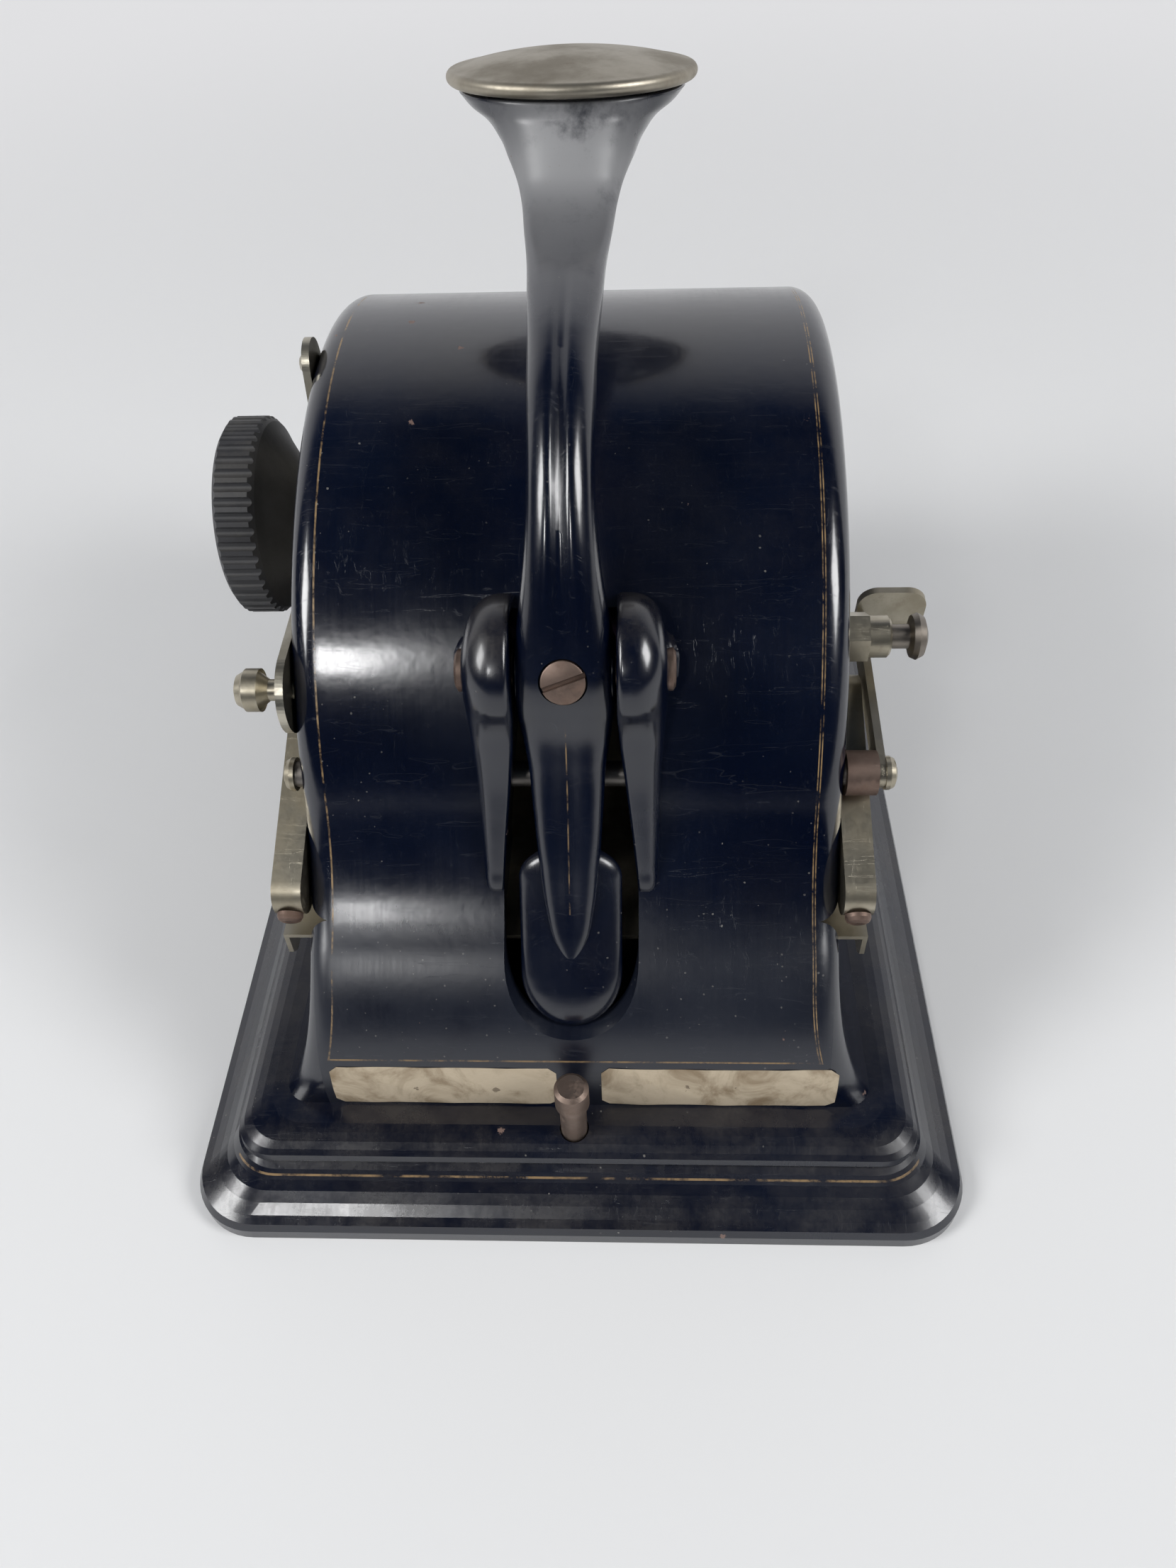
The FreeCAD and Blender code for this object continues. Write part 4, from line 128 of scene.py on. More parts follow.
def settle(obj, sharp=40.0, merge=1e-6):
    """Merges doubles, points the faces outwards and shades smooth."""
    work = bmesh.new()
    work.from_mesh(obj.data)
    bmesh.ops.remove_doubles(work, verts=work.verts, dist=merge)
    bmesh.ops.dissolve_degenerate(work, edges=work.edges, dist=1e-7)
    bmesh.ops.recalc_face_normals(work, faces=work.faces)
    work.to_mesh(obj.data)
    work.free()
    return smooth(obj, sharp)


def surface(name, grid, loop_cols=False, cap=False, sharp=40.0):
    """An object from a (rows, cols, 3) grid in mm. cap closes the first and last row with a fan."""
    grid = np.asarray(grid, float)
    rows, cols = grid.shape[:2]
    faces = grid_faces(rows, cols, loop_cols).tolist()
    points = grid.reshape(-1, 3)
    if cap:
        points = np.vstack([points, grid[0].mean(0), grid[-1].mean(0)])
        first, n = np.arange(cols), rows * cols
        after, last = np.roll(first, -1), n - cols
        fans = [[np.full(cols, n), after, first], [np.full(cols, n + 1), last + first, last + after]]
        faces += np.array(fans).transpose(2, 0, 1).reshape(-1, 3).tolist()
    return settle(mesh_object(name, points, faces), sharp)


def turned(name, profile, steps=96, sharp=40.0):
    """A profile of (radius, height) pairs carried round the Z axis. It starts and ends at radius 0."""
    profile = np.asarray(profile, float)
    a = np.linspace(0, 2 * np.pi, steps, endpoint=False)
    grid = np.stack([profile[:, None, 0] * np.cos(a), profile[:, None, 0] * np.sin(a),
                     np.repeat(profile[:, None, 1], steps, 1)], -1)
    return surface(name, grid, loop_cols=True, sharp=sharp)


def put(obj, matrix):
    """Turns and moves the mesh itself, so the object stays at the origin. The matrix is in mm."""
    matrix = matrix.copy()
    matrix.translation = matrix.translation * MM
    obj.data.transform(matrix)
    return obj


def bake(obj):
    """Replaces the mesh by what its modifiers make of it."""
    bpy.context.view_layer.update()
    made = bpy.data.meshes.new_from_object(obj.evaluated_get(bpy.context.evaluated_depsgraph_get()))
    obj.modifiers.clear()
    obj.data = made
    return obj


def carve(obj, cutters, sharp=40.0):
    """Takes the cutters' space out of the piece and keeps the result as plain mesh."""
    for k, cutter in enumerate(cutters):
        mod = obj.modifiers.new("cut_%d" % k, "BOOLEAN")
        mod.operation, mod.solver, mod.object = "DIFFERENCE", "EXACT", cutter
    bake(obj)
    for cutter in cutters:
        bpy.data.objects.remove(cutter)
    return smooth(obj, sharp)


def track(points, count):
    """A smooth line through points of any dimension: cubic pieces whose slopes are the chords' averages.

    The chords are measured on the first four numbers, so that a section's two ends both count."""
    p = np.asarray(points, float)
    chord = np.linalg.norm(np.diff(p[:, :4], axis=0), axis=1)
    s = np.concatenate([[0], np.cumsum(chord)])
    slope = np.gradient(p, s, axis=0)
    t = np.linspace(0, s[-1], count)
    k = np.clip(np.searchsorted(s, t, side="right") - 1, 0, len(s) - 2)
    h = (s[k + 1] - s[k])[:, None]
    u = ((t - s[k]) / h[:, 0])[:, None]
    return ((2 * u**3 - 3 * u**2 + 1) * p[k] + (u**3 - 2 * u**2 + u) * h * slope[k]
            + (-2 * u**3 + 3 * u**2) * p[k + 1] + (u**3 - u**2) * h * slope[k + 1])


print("mesh helpers ready")

# %% [markdown]
# ## Nodes as small sums
# A material is a graph of nodes. With a helper for each kind of node, a graph reads like a formula: every
# helper takes numbers or sockets, makes one node and gives back its output.


# %% Helpers for shader nodes
def new_material(name):
    material = bpy.data.materials.new(name)
    material.use_nodes = True
    tree = material.node_tree
    return material, tree, tree.nodes["Principled BSDF"]


def link(tree, source, target):
    tree.links.new(source, target)


def feed(tree, socket, value):
    """Sets the socket's own value from a number or a colour, or else links an output to it."""
    if isinstance(value, (int, float)):
        socket.default_value = value
    elif isinstance(value, tuple):
        socket.default_value = (*value, 1)
    else:
        tree.links.new(value, socket)


def math_node(tree, kind, *values, clamp=False):
    n = tree.nodes.new("ShaderNodeMath")
    n.operation, n.use_clamp = kind, clamp
    for socket, value in zip(n.inputs, values):
        feed(tree, socket, value)
    return n.outputs[0]


def times(tree, a, b, clamp=False):
    return math_node(tree, "MULTIPLY", a, b, clamp=clamp)


def scaled(tree, value, factor, offset, clamp=False):
    """value * factor + offset."""
    return math_node(tree, "MULTIPLY_ADD", value, factor, offset, clamp=clamp)


def band(tree, value, centre, half):
    """1 where the value is at most half away from the centre."""
    return math_node(tree, "COMPARE", value, centre, half)


def ramp(tree, value, low, high, kind="SMOOTHSTEP"):
    """0 at low, 1 at high."""
    n = tree.nodes.new("ShaderNodeMapRange")
    n.interpolation_type = kind
    for key, v in (("Value", value), ("From Min", low), ("From Max", high)):
        feed(tree, n.inputs[key], v)
    return n.outputs["Result"]


def noise(tree, where, scale, detail, rough, stretch=None, distortion=0.0):
    if stretch:
        m = tree.nodes.new("ShaderNodeMapping")
        m.inputs["Scale"].default_value = stretch
        link(tree, where, m.inputs["Vector"])
        where = m.outputs["Vector"]
    n = tree.nodes.new("ShaderNodeTexNoise")
    for key, v in (("Vector", where), ("Scale", scale), ("Detail", detail), ("Roughness", rough),
                   ("Distortion", distortion)):
        feed(tree, n.inputs[key], v)
    return n.outputs["Fac"]


def mix(tree, mask, a, b):
    """Colour a where the mask is 0, b where it is 1."""
    n = tree.nodes.new("ShaderNodeMix")
    n.data_type = "RGBA"
    for key, v in ((0, mask), (6, a), (7, b)):
        feed(tree, n.inputs[key], v)
    return n.outputs[2]


def split_axes(tree, vector):
    n = tree.nodes.new("ShaderNodeSeparateXYZ")
    link(tree, vector, n.inputs[0])
    return n.outputs


def object_place(tree):
    return tree.nodes.new("ShaderNodeTexCoord").outputs["Object"]


def bump(tree, shader, height, strength, distance):
    n = tree.nodes.new("ShaderNodeBump")
    for key, v in (("Strength", strength), ("Distance", distance), ("Height", height)):
        feed(tree, n.inputs[key], v)
    link(tree, n.outputs["Normal"], shader.inputs["Normal"])


print("node helpers ready")

# %% [markdown]
# ## Floor, backdrop and lamps
# Black enamel is mostly seen by what it mirrors. A pale floor that curves up into a high wall gives the broad
# grey band on the hood's top. Two large soft lamps, one on each side, give the pale streaks on the edges and
# the two soft shadows, and a small one in front gives the satin patch beside the lever. Floor and wall glow
# only for rays that look or mirror, so the glow shows in the enamel without putting more light on it. Only in
# what is mirrored, the floor in front is painted dark and the wall darkens upwards to a dark blue: painted
# shade in the reflections. The floor is clear from below and under the base, so that the underside can be
# looked at.

# %% The floor
# Two colours here are painted shade seen only in reflections: the dark of the floor in front and the dark
# blue at the wall's top.
PALE, PAINTED_NEAR_SHADE, PAINTED_DARK_REFLECTION = (0.78, 0.78, 0.78), (0.10, 0.11, 0.13), (0.02, 0.035, 0.075)
GLOW, WALL_GLOW = (0.77, 0.77, 0.785), (0.76, 0.76, 0.78)
BEND, WALL_Y, WALL_TOP, FLOOR_FRONT, SIDEWAYS = 180.0, 1000.0, 2600.0, -2500.0, 3000.0
bend = np.linspace(0, math.pi / 2, 13)
curve = np.stack([WALL_Y - BEND + BEND * np.sin(bend), BEND - BEND * np.cos(bend)], 1)
floor_line = np.vstack([[[FLOOR_FRONT, 0]], curve])
wall_line = np.array([[WALL_Y, BEND], [WALL_Y, WALL_TOP]])


def carried_across(name, line):
    """A profile of (y, z) points carried from side to side, facing the machine."""
    across = np.array([-SIDEWAYS, SIDEWAYS])
    grid = np.stack([np.repeat(across[:, None], len(line), 1), np.repeat(line[None, :, 0], 2, 0),
                     np.repeat(line[None, :, 1], 2, 0)], -1)
    obj = mesh_object(name, grid.reshape(-1, 3), grid_faces(2, len(line))[:, ::-1])
    obj.data.shade_smooth()
    return obj


def ray(tree, *kinds):
    """1 for rays of the named kinds."""
    path = tree.nodes.new("ShaderNodeLightPath").outputs
    total = path["Is %s Ray" % kinds[0]]
    for kind in kinds[1:]:
        total = math_node(tree, "ADD", total, path["Is %s Ray" % kind], clamp=True)
    return total


def seen_rays(tree):
    """1 for rays that look, mirror or shine through, 0 for those that carry light."""
    return ray(tree, "Camera", "Glossy", "Transmission")


def shining(tree, colour):
    n = tree.nodes.new("ShaderNodeEmission")
    feed(tree, n.inputs["Color"], colour)
    return n.outputs[0]


def mix_shader(tree, mask, a, b):
    n = tree.nodes.new("ShaderNodeMixShader")
    for socket, source in zip(n.inputs, (mask, a, b)):
        link(tree, source, socket)
    return n.outputs[0]


floor = carried_across("floor", floor_line)
pale, tree, shader = new_material("pale_floor")
place = object_place(tree)
axes = split_axes(tree, place)
# Painted shade: rays that mirror the floor's front part get a dark colour, standing in for the room's shade
# in front; the camera still sees that floor pale.
near_painted_shade = times(tree, ramp(tree, axes["Y"], -0.32, -0.60, "LINEAR"), ray(tree, "Glossy"))
link(tree, mix(tree, near_painted_shade, PALE, PAINTED_NEAR_SHADE), shader.inputs["Base Color"])
shader.inputs["Roughness"].default_value = 0.65
shader.inputs["Specular IOR Level"].default_value = 0.2
distance = tree.nodes.new("ShaderNodeVectorMath")
distance.operation = "LENGTH"
link(tree, place, distance.inputs[0])
far_off = ramp(tree, distance.outputs["Value"], 0.12, 0.95)
far_off.node.inputs["To Max"].default_value = 0.9
share = times(tree, far_off, math_node(tree, "SUBTRACT", seen_rays(tree), near_painted_shade, clamp=True))
opaque = mix_shader(tree, share, shader.outputs[0], shining(tree, GLOW))
under_base = times(tree, band(tree, axes["X"], 0.0, 0.074), band(tree, axes["Y"], 0.0, 0.1165))
from_below = tree.nodes.new("ShaderNodeNewGeometry").outputs["Backfacing"]
clear = tree.nodes.new("ShaderNodeBsdfTransparent").outputs[0]
finished = mix_shader(tree, math_node(tree, "MAXIMUM", from_below, under_base), opaque, clear)
link(tree, finished, tree.nodes["Material Output"].inputs["Surface"])
floor.data.materials.append(pale)
print("floor bends at", WALL_Y - BEND, "mm behind the middle")

# %% The backdrop
backdrop = carried_across("backdrop", wall_line)
paper_wall, tree, shader = new_material("pale_wall")
feed(tree, shader.inputs["Base Color"], PALE)
shader.inputs["Roughness"].default_value = 0.65
# Painted reflection: in what is mirrored the wall darkens upwards to a dark blue, while the camera sees it
# evenly pale.
painted_dark_rise = ramp(tree, split_axes(tree, object_place(tree))["Z"], 0.6, 2.3)
painted_dark_rise = math_node(tree, "SUBTRACT", painted_dark_rise, ray(tree, "Camera"), clamp=True)
glow = shining(tree, mix(tree, painted_dark_rise, WALL_GLOW, PAINTED_DARK_REFLECTION))
link(tree, mix_shader(tree, seen_rays(tree), shader.outputs[0], glow),
     tree.nodes["Material Output"].inputs["Surface"])
backdrop.data.materials.append(paper_wall)
print("backdrop up to", WALL_TOP, "mm")


# %% The lamps and the room's light
def soft_lamp(name, place, target, width, height, watts):
    """An area lamp in metres that faces its target."""
    lamp = bpy.data.lights.new(name, "AREA")
    lamp.shape, lamp.size, lamp.size_y, lamp.energy = "RECTANGLE", width, height, watts
    obj = bpy.data.objects.new(name, lamp)
    obj.location = place
    obj.rotation_euler = (Vector(target) - Vector(place)).to_track_quat("-Z", "Y").to_euler()
    bpy.context.scene.collection.objects.link(obj)


soft_lamp("lamp_left", (-1.1, -0.50, 0.95), (0, 0.1, 0.0), 0.5, 0.6, 12.5)
soft_lamp("lamp_right", (1.1, -0.40, 0.95), (0, 0.1, 0.0), 0.5, 0.6, 11)
soft_lamp("lamp_front", (-0.36, -0.96, 0.82), (0, 0.1, 0.05), 0.16, 0.16, 2.0)

world = bpy.data.worlds.new("studio")
bpy.context.scene.world = world
world.use_nodes = True
sky = world.node_tree


def background(n, colour, strength):
    feed(sky, n.inputs["Color"], colour)
    n.inputs["Strength"].default_value = strength
    return n.outputs[0]


room = background(sky.nodes["Background"], (0.68, 0.71, 0.76), 0.34)
mirrored = background(sky.nodes.new("ShaderNodeBackground"), (0.42, 0.58, 0.85), 0.035)
looked_at = background(sky.nodes.new("ShaderNodeBackground"), (0.74, 0.74, 0.75), 1.0)
around = mix_shader(sky, ray(sky, "Glossy"), room, mirrored)
link(sky, mix_shader(sky, ray(sky, "Camera"), around, looked_at), sky.nodes["World Output"].inputs["Surface"])
bpy.context.scene.view_settings.view_transform = "Standard"
print("lamps:", len(bpy.data.lights))

# %% [markdown]
# ## Finishes
# Old enamel, worn nickel, hard rubber and rusty screws all share three effects, so each is a node group:
# **Dust** lies where a face looks up, **Specks** are chips and spots, and **Wear** is slow blotches with fine
# scratches. A group only puts out masks. The shader stays in each material, where its own constants are set.

# %% The shared groups
FLOAT, VECTOR = "NodeSocketFloat", "NodeSocketVector"


def new_group(name, sizes, masks):
    """A group that takes a place and the named numbers, and puts out the named masks."""
    group = bpy.data.node_groups.new(name, "ShaderNodeTree")
    group.interface.new_socket("Place", in_out="INPUT", socket_type=VECTOR)
    for title, value in sizes.items():
        group.interface.new_socket(title, in_out="INPUT", socket_type=FLOAT).default_value = value
    for title in masks:
        group.interface.new_socket(title, in_out="OUTPUT", socket_type=FLOAT)
    return group, group.nodes.new("NodeGroupInput").outputs, group.nodes.new("NodeGroupOutput").inputs


dust, given, result = new_group("Dust", {"Amount": 0.5, "Scale": 60.0}, ["Mask"])
facing = split_axes(dust, dust.nodes.new("ShaderNodeNewGeometry").outputs["Normal"])
upward = ramp(dust, facing["Z"], 0.25, 0.95)
cloud = noise(dust, given["Place"], given["Scale"], 6.0, 0.65)
grain = noise(dust, given["Place"], 1400.0, 2.0, 0.6)
body = times(dust, upward, ramp(dust, cloud, 0.35, 0.68))
body = times(dust, body, scaled(dust, grain, 0.9, 0.45))
link(dust, times(dust, body, given["Amount"], clamp=True), result["Mask"])

specks, given, result = new_group("Specks", {"Scale": 180.0, "Share": 0.2}, ["Mask"])
cells = specks.nodes.new("ShaderNodeTexVoronoi")
link(specks, given["Place"], cells.inputs["Vector"])
link(specks, given["Scale"], cells.inputs["Scale"])
pick = specks.nodes.new("ShaderNodeSeparateColor")
link(specks, cells.outputs["Color"], pick.inputs[0])
chosen = math_node(specks, "LESS_THAN", pick.outputs[0], given["Share"])
radius = scaled(specks, pick.outputs[1], 0.22, 0.03)
ragged = scaled(specks, noise(specks, given["Place"], 1500.0, 3.0, 0.7), 0.5, -0.25)
near = math_node(specks, "LESS_THAN", math_node(specks, "ADD", cells.outputs["Distance"], ragged), radius)
link(specks, times(specks, chosen, near), result["Mask"])

wear, given, result = new_group("Wear", {"Scale": 25.0}, ["Blotch", "Scratch", "Peel"])
blotch = noise(wear, given["Place"], given["Scale"], 5.0, 0.6)
link(wear, ramp(wear, blotch, 0.35, 0.7), result["Blotch"])
line_a = noise(wear, given["Place"], 60.0, 2.0, 0.5, (1.0, 14.0, 2.0), 0.6)
line_b = noise(wear, given["Place"], 60.0, 2.0, 0.5, (12.0, 1.0, 5.0), 0.8)
hairs = math_node(wear, "MAXIMUM", band(wear, line_a, 0.62, 0.004), band(wear, line_b, 0.64, 0.003))
link(wear, hairs, result["Scratch"])
link(wear, noise(wear, given["Place"], 320.0, 2.0, 0.5), result["Peel"])


def use_group(tree, group, place, **values):
    n = tree.nodes.new("ShaderNodeGroup")
    n.node_tree = group
    for key, v in dict(values, Place=place).items():
        feed(tree, n.inputs[key], v)
    return n.outputs


print("groups:", [g.name for g in bpy.data.node_groups])

# %% [markdown]
# ## Black enamel with a thin gold line
# The castings are japanned: black with a blue cast, glossy, a little uneven, with dust where it can lie, fine
# hairline scratches and small chips that show brown iron. The gold line on the hood is paint, so it is a mask
# in the material: a band where X or Z keeps the line's distance from the edge, worn away by noise.

# %% The enamel material
# The grey for the hood's hollow is partly settled dust and partly a painted reflection of the pale floor.
BLACK, BLUE_BLACK, HAZE_AND_SHEEN = (0.0005, 0.0019, 0.0092), (0.0012, 0.0036, 0.0135), (0.040, 0.046, 0.058)
GOLD, HAIRLINE, DUST = (0.26, 0.165, 0.07), (0.20, 0.21, 0.22), (0.085, 0.074, 0.060)
# The trumpet's rubbed grey is partly hand wear and partly a painted reflection of the pale wall.
MOTE, BARE_IRON, RUBBED_AND_SHEEN = (0.22, 0.21, 0.19), (0.17, 0.105, 0.085), (0.27, 0.27, 0.275)
COAT = 0.22
SIDE, FLARE_TOP, FLARE_RADIUS = 54.0, 48.0, 56.0
LINE_X, LINE_LOW, LINE_HALF = 48.35 * MM, 33.0 * MM, 0.20 * MM


def enamel(name, dust_amount, lines=None, satin=0.15, haze_and_sheen=None, haze_and_sheen_finish=(0.16, 0.16, HAZE_AND_SHEEN)):
    """Two arguments make masks from (tree, xyz): lines the gold line, the next one a grey place.

    Its grey is partly real, dust in the hood's hollow and hand wear on the trumpet, and partly a painted
    reflection of the pale floor and wall. The last argument is how much of its colour such a place takes,
    what it adds to the roughness, and the colour."""
    material, tree, shader = new_material(name)
    place = object_place(tree)
    worn = use_group(tree, wear, place, Scale=22.0)
    dusty = use_group(tree, dust, place, Amount=dust_amount, Scale=55.0)["Mask"]
    chips = use_group(tree, specks, place, Scale=260.0, Share=0.012)["Mask"]
    motes = use_group(tree, specks, place, Scale=1100.0, Share=0.10)["Mask"]
    lint = ramp(tree, noise(tree, place, 30.0, 3.0, 0.6), 0.50, 0.66)
    colour = mix(tree, worn["Blotch"], BLACK, BLUE_BLACK)
    streak = noise(tree, place, 900.0, 3.0, 0.6, (1.6, 0.05, 0.05))
    rough = scaled(tree, streak, 0.08, scaled(tree, worn["Blotch"], 0.09, satin))
    xyz = split_axes(tree, place)
    if lines:
        kept = ramp(tree, noise(tree, place, 160.0, 6.0, 0.75), 0.40, 0.60)
        gold = times(tree, lines(tree, xyz), kept)
        colour = mix(tree, gold, colour, GOLD)
        rough = scaled(tree, gold, 0.25, rough)
    colour = mix(tree, times(tree, worn["Scratch"], 0.05), colour, HAIRLINE)
    colour = mix(tree, dusty, colour, DUST)
    shader.inputs["Coat Weight"].default_value = COAT
    if haze_and_sheen:
        # The grey place's colour is partly real dust and wear and partly a painted reflection of the pale
        # floor and wall.
        haze_and_sheen_mask = haze_and_sheen(tree, xyz)
        patchy = times(tree, haze_and_sheen_mask, ramp(tree, noise(tree, place, 70.0, 6.0, 0.7), 0.22, 0.52))
        colour = mix(tree, times(tree, patchy, haze_and_sheen_finish[0]), colour, haze_and_sheen_finish[2])
        rough = scaled(tree, haze_and_sheen_mask, haze_and_sheen_finish[1], rough)
        lint = math_node(tree, "MAXIMUM", lint, times(tree, haze_and_sheen_mask, 0.6))
        link(tree, scaled(tree, haze_and_sheen_mask, -COAT, COAT), shader.inputs["Coat Weight"])
    colour = mix(tree, times(tree, motes, times(tree, lint, 0.6)), colour, MOTE)
    colour = mix(tree, chips, colour, BARE_IRON)
    rough = scaled(tree, chips, 0.4, scaled(tree, dusty, 0.55, rough), clamp=True)
    link(tree, colour, shader.inputs["Base Color"])
    link(tree, rough, shader.inputs["Roughness"])
    shader.inputs["Specular IOR Level"].default_value = 0.75
    shader.inputs["Coat Roughness"].default_value = 0.08
    bump(tree, shader, scaled(tree, worn["Scratch"], -0.12, worn["Peel"]), 0.22, 0.00012)
    return material


def hood_lines(tree, xyz):
    """Upright bands at both edges, which follow the flare, joined by a level band on the front and the back.

    The flare moves the band out by r - sqrt(r^2 - drop^2). The right band is wider, with a dark middle."""
    drop = math_node(tree, "MAXIMUM", math_node(tree, "SUBTRACT", FLARE_TOP * MM, xyz["Z"]), 0.0)
    chord = math_node(tree, "SUBTRACT", (FLARE_RADIUS * MM)**2, times(tree, drop, drop))
    out = math_node(tree, "SUBTRACT", FLARE_RADIUS * MM, math_node(tree, "SQRT", chord))
    across = math_node(tree, "SUBTRACT", math_node(tree, "ABSOLUTE", xyz["X"]), out)
    is_right = math_node(tree, "GREATER_THAN", xyz["X"], 0.0)
    half = scaled(tree, is_right, 0.20 * MM, 0.18 * MM)
    core = times(tree, band(tree, across, LINE_X, 0.14 * MM), is_right)
    above = math_node(tree, "GREATER_THAN", xyz["Z"], LINE_LOW - LINE_HALF)
    upright = times(tree, band(tree, across, LINE_X, half), above)
    upright = math_node(tree, "SUBTRACT", upright, core, clamp=True)
    inside = math_node(tree, "LESS_THAN", across, LINE_X)
    level = times(tree, band(tree, xyz["Z"], LINE_LOW, LINE_HALF), inside)
    return math_node(tree, "MAXIMUM", upright, level)


def hood_hollow_haze_and_sheen(tree, xyz):
    """The hollow of the front, where dust has settled and nobody polishes.

    Its grey, lighter low down, is also a painted reflection of the pale floor.
    """
    low = times(tree, ramp(tree, xyz["Z"], 0.062, 0.050), ramp(tree, xyz["Y"], -0.05, -0.07))
    inside = math_node(tree, "LESS_THAN", math_node(tree, "ABSOLUTE", xyz["X"]), 0.0525)
    return times(tree, low, inside)


def lever_lines(tree, xyz):
    """A thread of gold down the groove of the tail, which wear has thinned."""
    tail = band(tree, xyz["Z"], 79.0 * MM, 18.0 * MM)
    return times(tree, band(tree, xyz["X"], 0.0, 0.13 * MM), times(tree, tail, 0.7))


def palm_rub_and_sheen(tree, xyz):
    """The front of the trumpet, which hands have rubbed to a grey satin.

    That grey is partly hand wear and partly a painted reflection of the pale wall.
    """
    high = ramp(tree, xyz["Z"], 0.1500, 0.1620)
    return times(tree, high, ramp(tree, xyz["Y"], 0.034, 0.022))


def base_lines(tree, xyz):
    """One level band on the base's front slope and one behind."""
    inside = math_node(tree, "LESS_THAN", math_node(tree, "ABSOLUTE", xyz["X"]), 72 * MM)
    outer = math_node(tree, "GREATER_THAN", math_node(tree, "ABSOLUTE", xyz["Y"]), 110 * MM)
    level = band(tree, xyz["Z"], 11.4 * MM, 0.22 * MM)
    return times(tree, level, times(tree, inside, outer))


hood_enamel = enamel("hood_enamel", 0.06, hood_lines, 0.10, hood_hollow_haze_and_sheen)
base_enamel = enamel("base_enamel", 0.26, base_lines, 0.14)
lever_enamel = enamel("lever_enamel", 0.04, lever_lines, 0.14, palm_rub_and_sheen, (0.95, 0.26, RUBBED_AND_SHEEN))
print("enamels made")

# %% [markdown]
# ## The hood
# The hood is one thin casting. Seen from the side its outline is four tangent curves: foot, hollow, main arc
# and plumb back. Seen from the front its sides are plumb and flare at the deck. It is worked out as two kinds
# of sheet: a strip that follows the outline and rounds over both edges, and two flat sides below it. A
# thickness and the cuts for the lever and the paper come after.

# %% The hood's outline and its skin
DECK, EDGE, WALL, FRONT_HALF = 18.5, 5.5, 4.2, 48.5
MAIN_RADIUS, HOLLOW_RADIUS, ANKLE_RADIUS = 88, 50, 39
MEET_MAIN, MEET_ANKLE = 159.4, -54.3


def arc(centre, radius, a0, a1, count):
    """Points on a circle from angle a0 to a1 in degrees, and the direction from its centre."""
    a = np.radians(np.linspace(a0, a1, count))
    d = np.stack([np.cos(a), np.sin(a)], 1)
    return np.array(centre) + radius * d, d


def beside(centre, reach, degrees):
    """The centre of the next arc, which touches this one in the given direction."""
    a = math.radians(degrees)
    return centre + reach * np.array([math.cos(a), math.sin(a)])


ROWS_FOOT, ROWS_BACK = 3, 14
main_mid = np.array([13.0, 45.0])
hollow_mid = beside(main_mid, MAIN_RADIUS + HOLLOW_RADIUS, MEET_MAIN)
ankle_mid = beside(hollow_mid, HOLLOW_RADIUS + ANKLE_RADIUS, MEET_ANKLE)
toe, toe_out = arc(ankle_mid, ANKLE_RADIUS, 180, 180 + MEET_ANKLE, 40)
hollow, hollow_out = arc(hollow_mid, HOLLOW_RADIUS, MEET_ANKLE, MEET_MAIN - 180, 40)
main_arc, main_out = arc(main_mid, MAIN_RADIUS, MEET_MAIN, 0, 130)
foot = np.stack([np.full(ROWS_FOOT, toe[0, 0]), np.linspace(DECK, toe[0, 1], ROWS_FOOT)], 1)
back = np.stack([np.full(ROWS_BACK, main_arc[-1, 0]), np.linspace(main_arc[-1, 1], DECK, ROWS_BACK)], 1)
outline = np.vstack([foot[:-1], toe[:-1], hollow[:-1], main_arc, back[1:]])
outward = np.vstack([np.tile([-1.0, 0.0], (ROWS_FOOT - 1, 1)), toe_out[:-1], -hollow_out[:-1], main_out,
                     np.tile([1.0, 0.0], (ROWS_BACK - 1, 1))])


def half_width(z):
    """SIDE where plumb, and below FLARE_TOP a quarter-round flare towards the deck."""
    drop = np.clip(FLARE_TOP - z, 0, None)
    return SIDE + FLARE_RADIUS - np.sqrt(FLARE_RADIUS**2 - drop**2)


flat = np.linspace(0, FRONT_HALF, 25)
round_over = np.radians(np.linspace(0, 90, 11))[1:]
inset = np.concatenate([np.zeros(len(flat)), EDGE * (1 - np.cos(round_over))])
spread = np.concatenate([flat - FRONT_HALF, EDGE * np.sin(round_over)])
yz = outline[:, None, :] - outward[:, None, :] * inset[None, :, None]
x = half_width(yz[..., 1]) - EDGE + spread[None, :]
x[:, : len(flat)] = flat * (half_width(yz[:, : len(flat), 1]) - EDGE) / FRONT_HALF
half_strip = np.concatenate([x[..., None], yz], -1)
strip = np.concatenate([half_strip[:, ::-1] * [-1, 1, 1], half_strip[:, 1:]], 1)
border = yz[ROWS_FOOT - 1: len(outline) - ROWS_BACK + 1, -1]
rise = np.linspace(0, 1, 24)


def side_sheet(sign):
    """Plumb columns from the deck to the rounded edge, with X from the flare."""
    z = DECK + (border[:, 1] - DECK)[:, None] * rise
    y = np.repeat(border[:, :1], len(rise), 1)
    return np.stack([sign * half_width(z), y, z], -1)


parts, faces = [strip.reshape(-1, 3)], [grid_faces(*strip.shape[:2])]
for sign in (-1, 1):
    sheet = side_sheet(sign)
    faces.append(grid_faces(*sheet.shape[:2], start=sum(len(p) for p in parts)))
    parts.append(sheet.reshape(-1, 3))
hood = settle(mesh_object("hood_shell", np.vstack(parts), np.vstack(faces)), 35, merge=2e-6)
print("hood skin:", len(hood.data.polygons), "faces")

# %% [markdown]
# The wall comes from a Solidify modifier that grows inwards. The lever's slot narrows upwards between the
# ears, so its cutter is an outline carried through the front, and the two paper throats are plain notches low
# in the sides. The cuts are Booleans, baked at once.

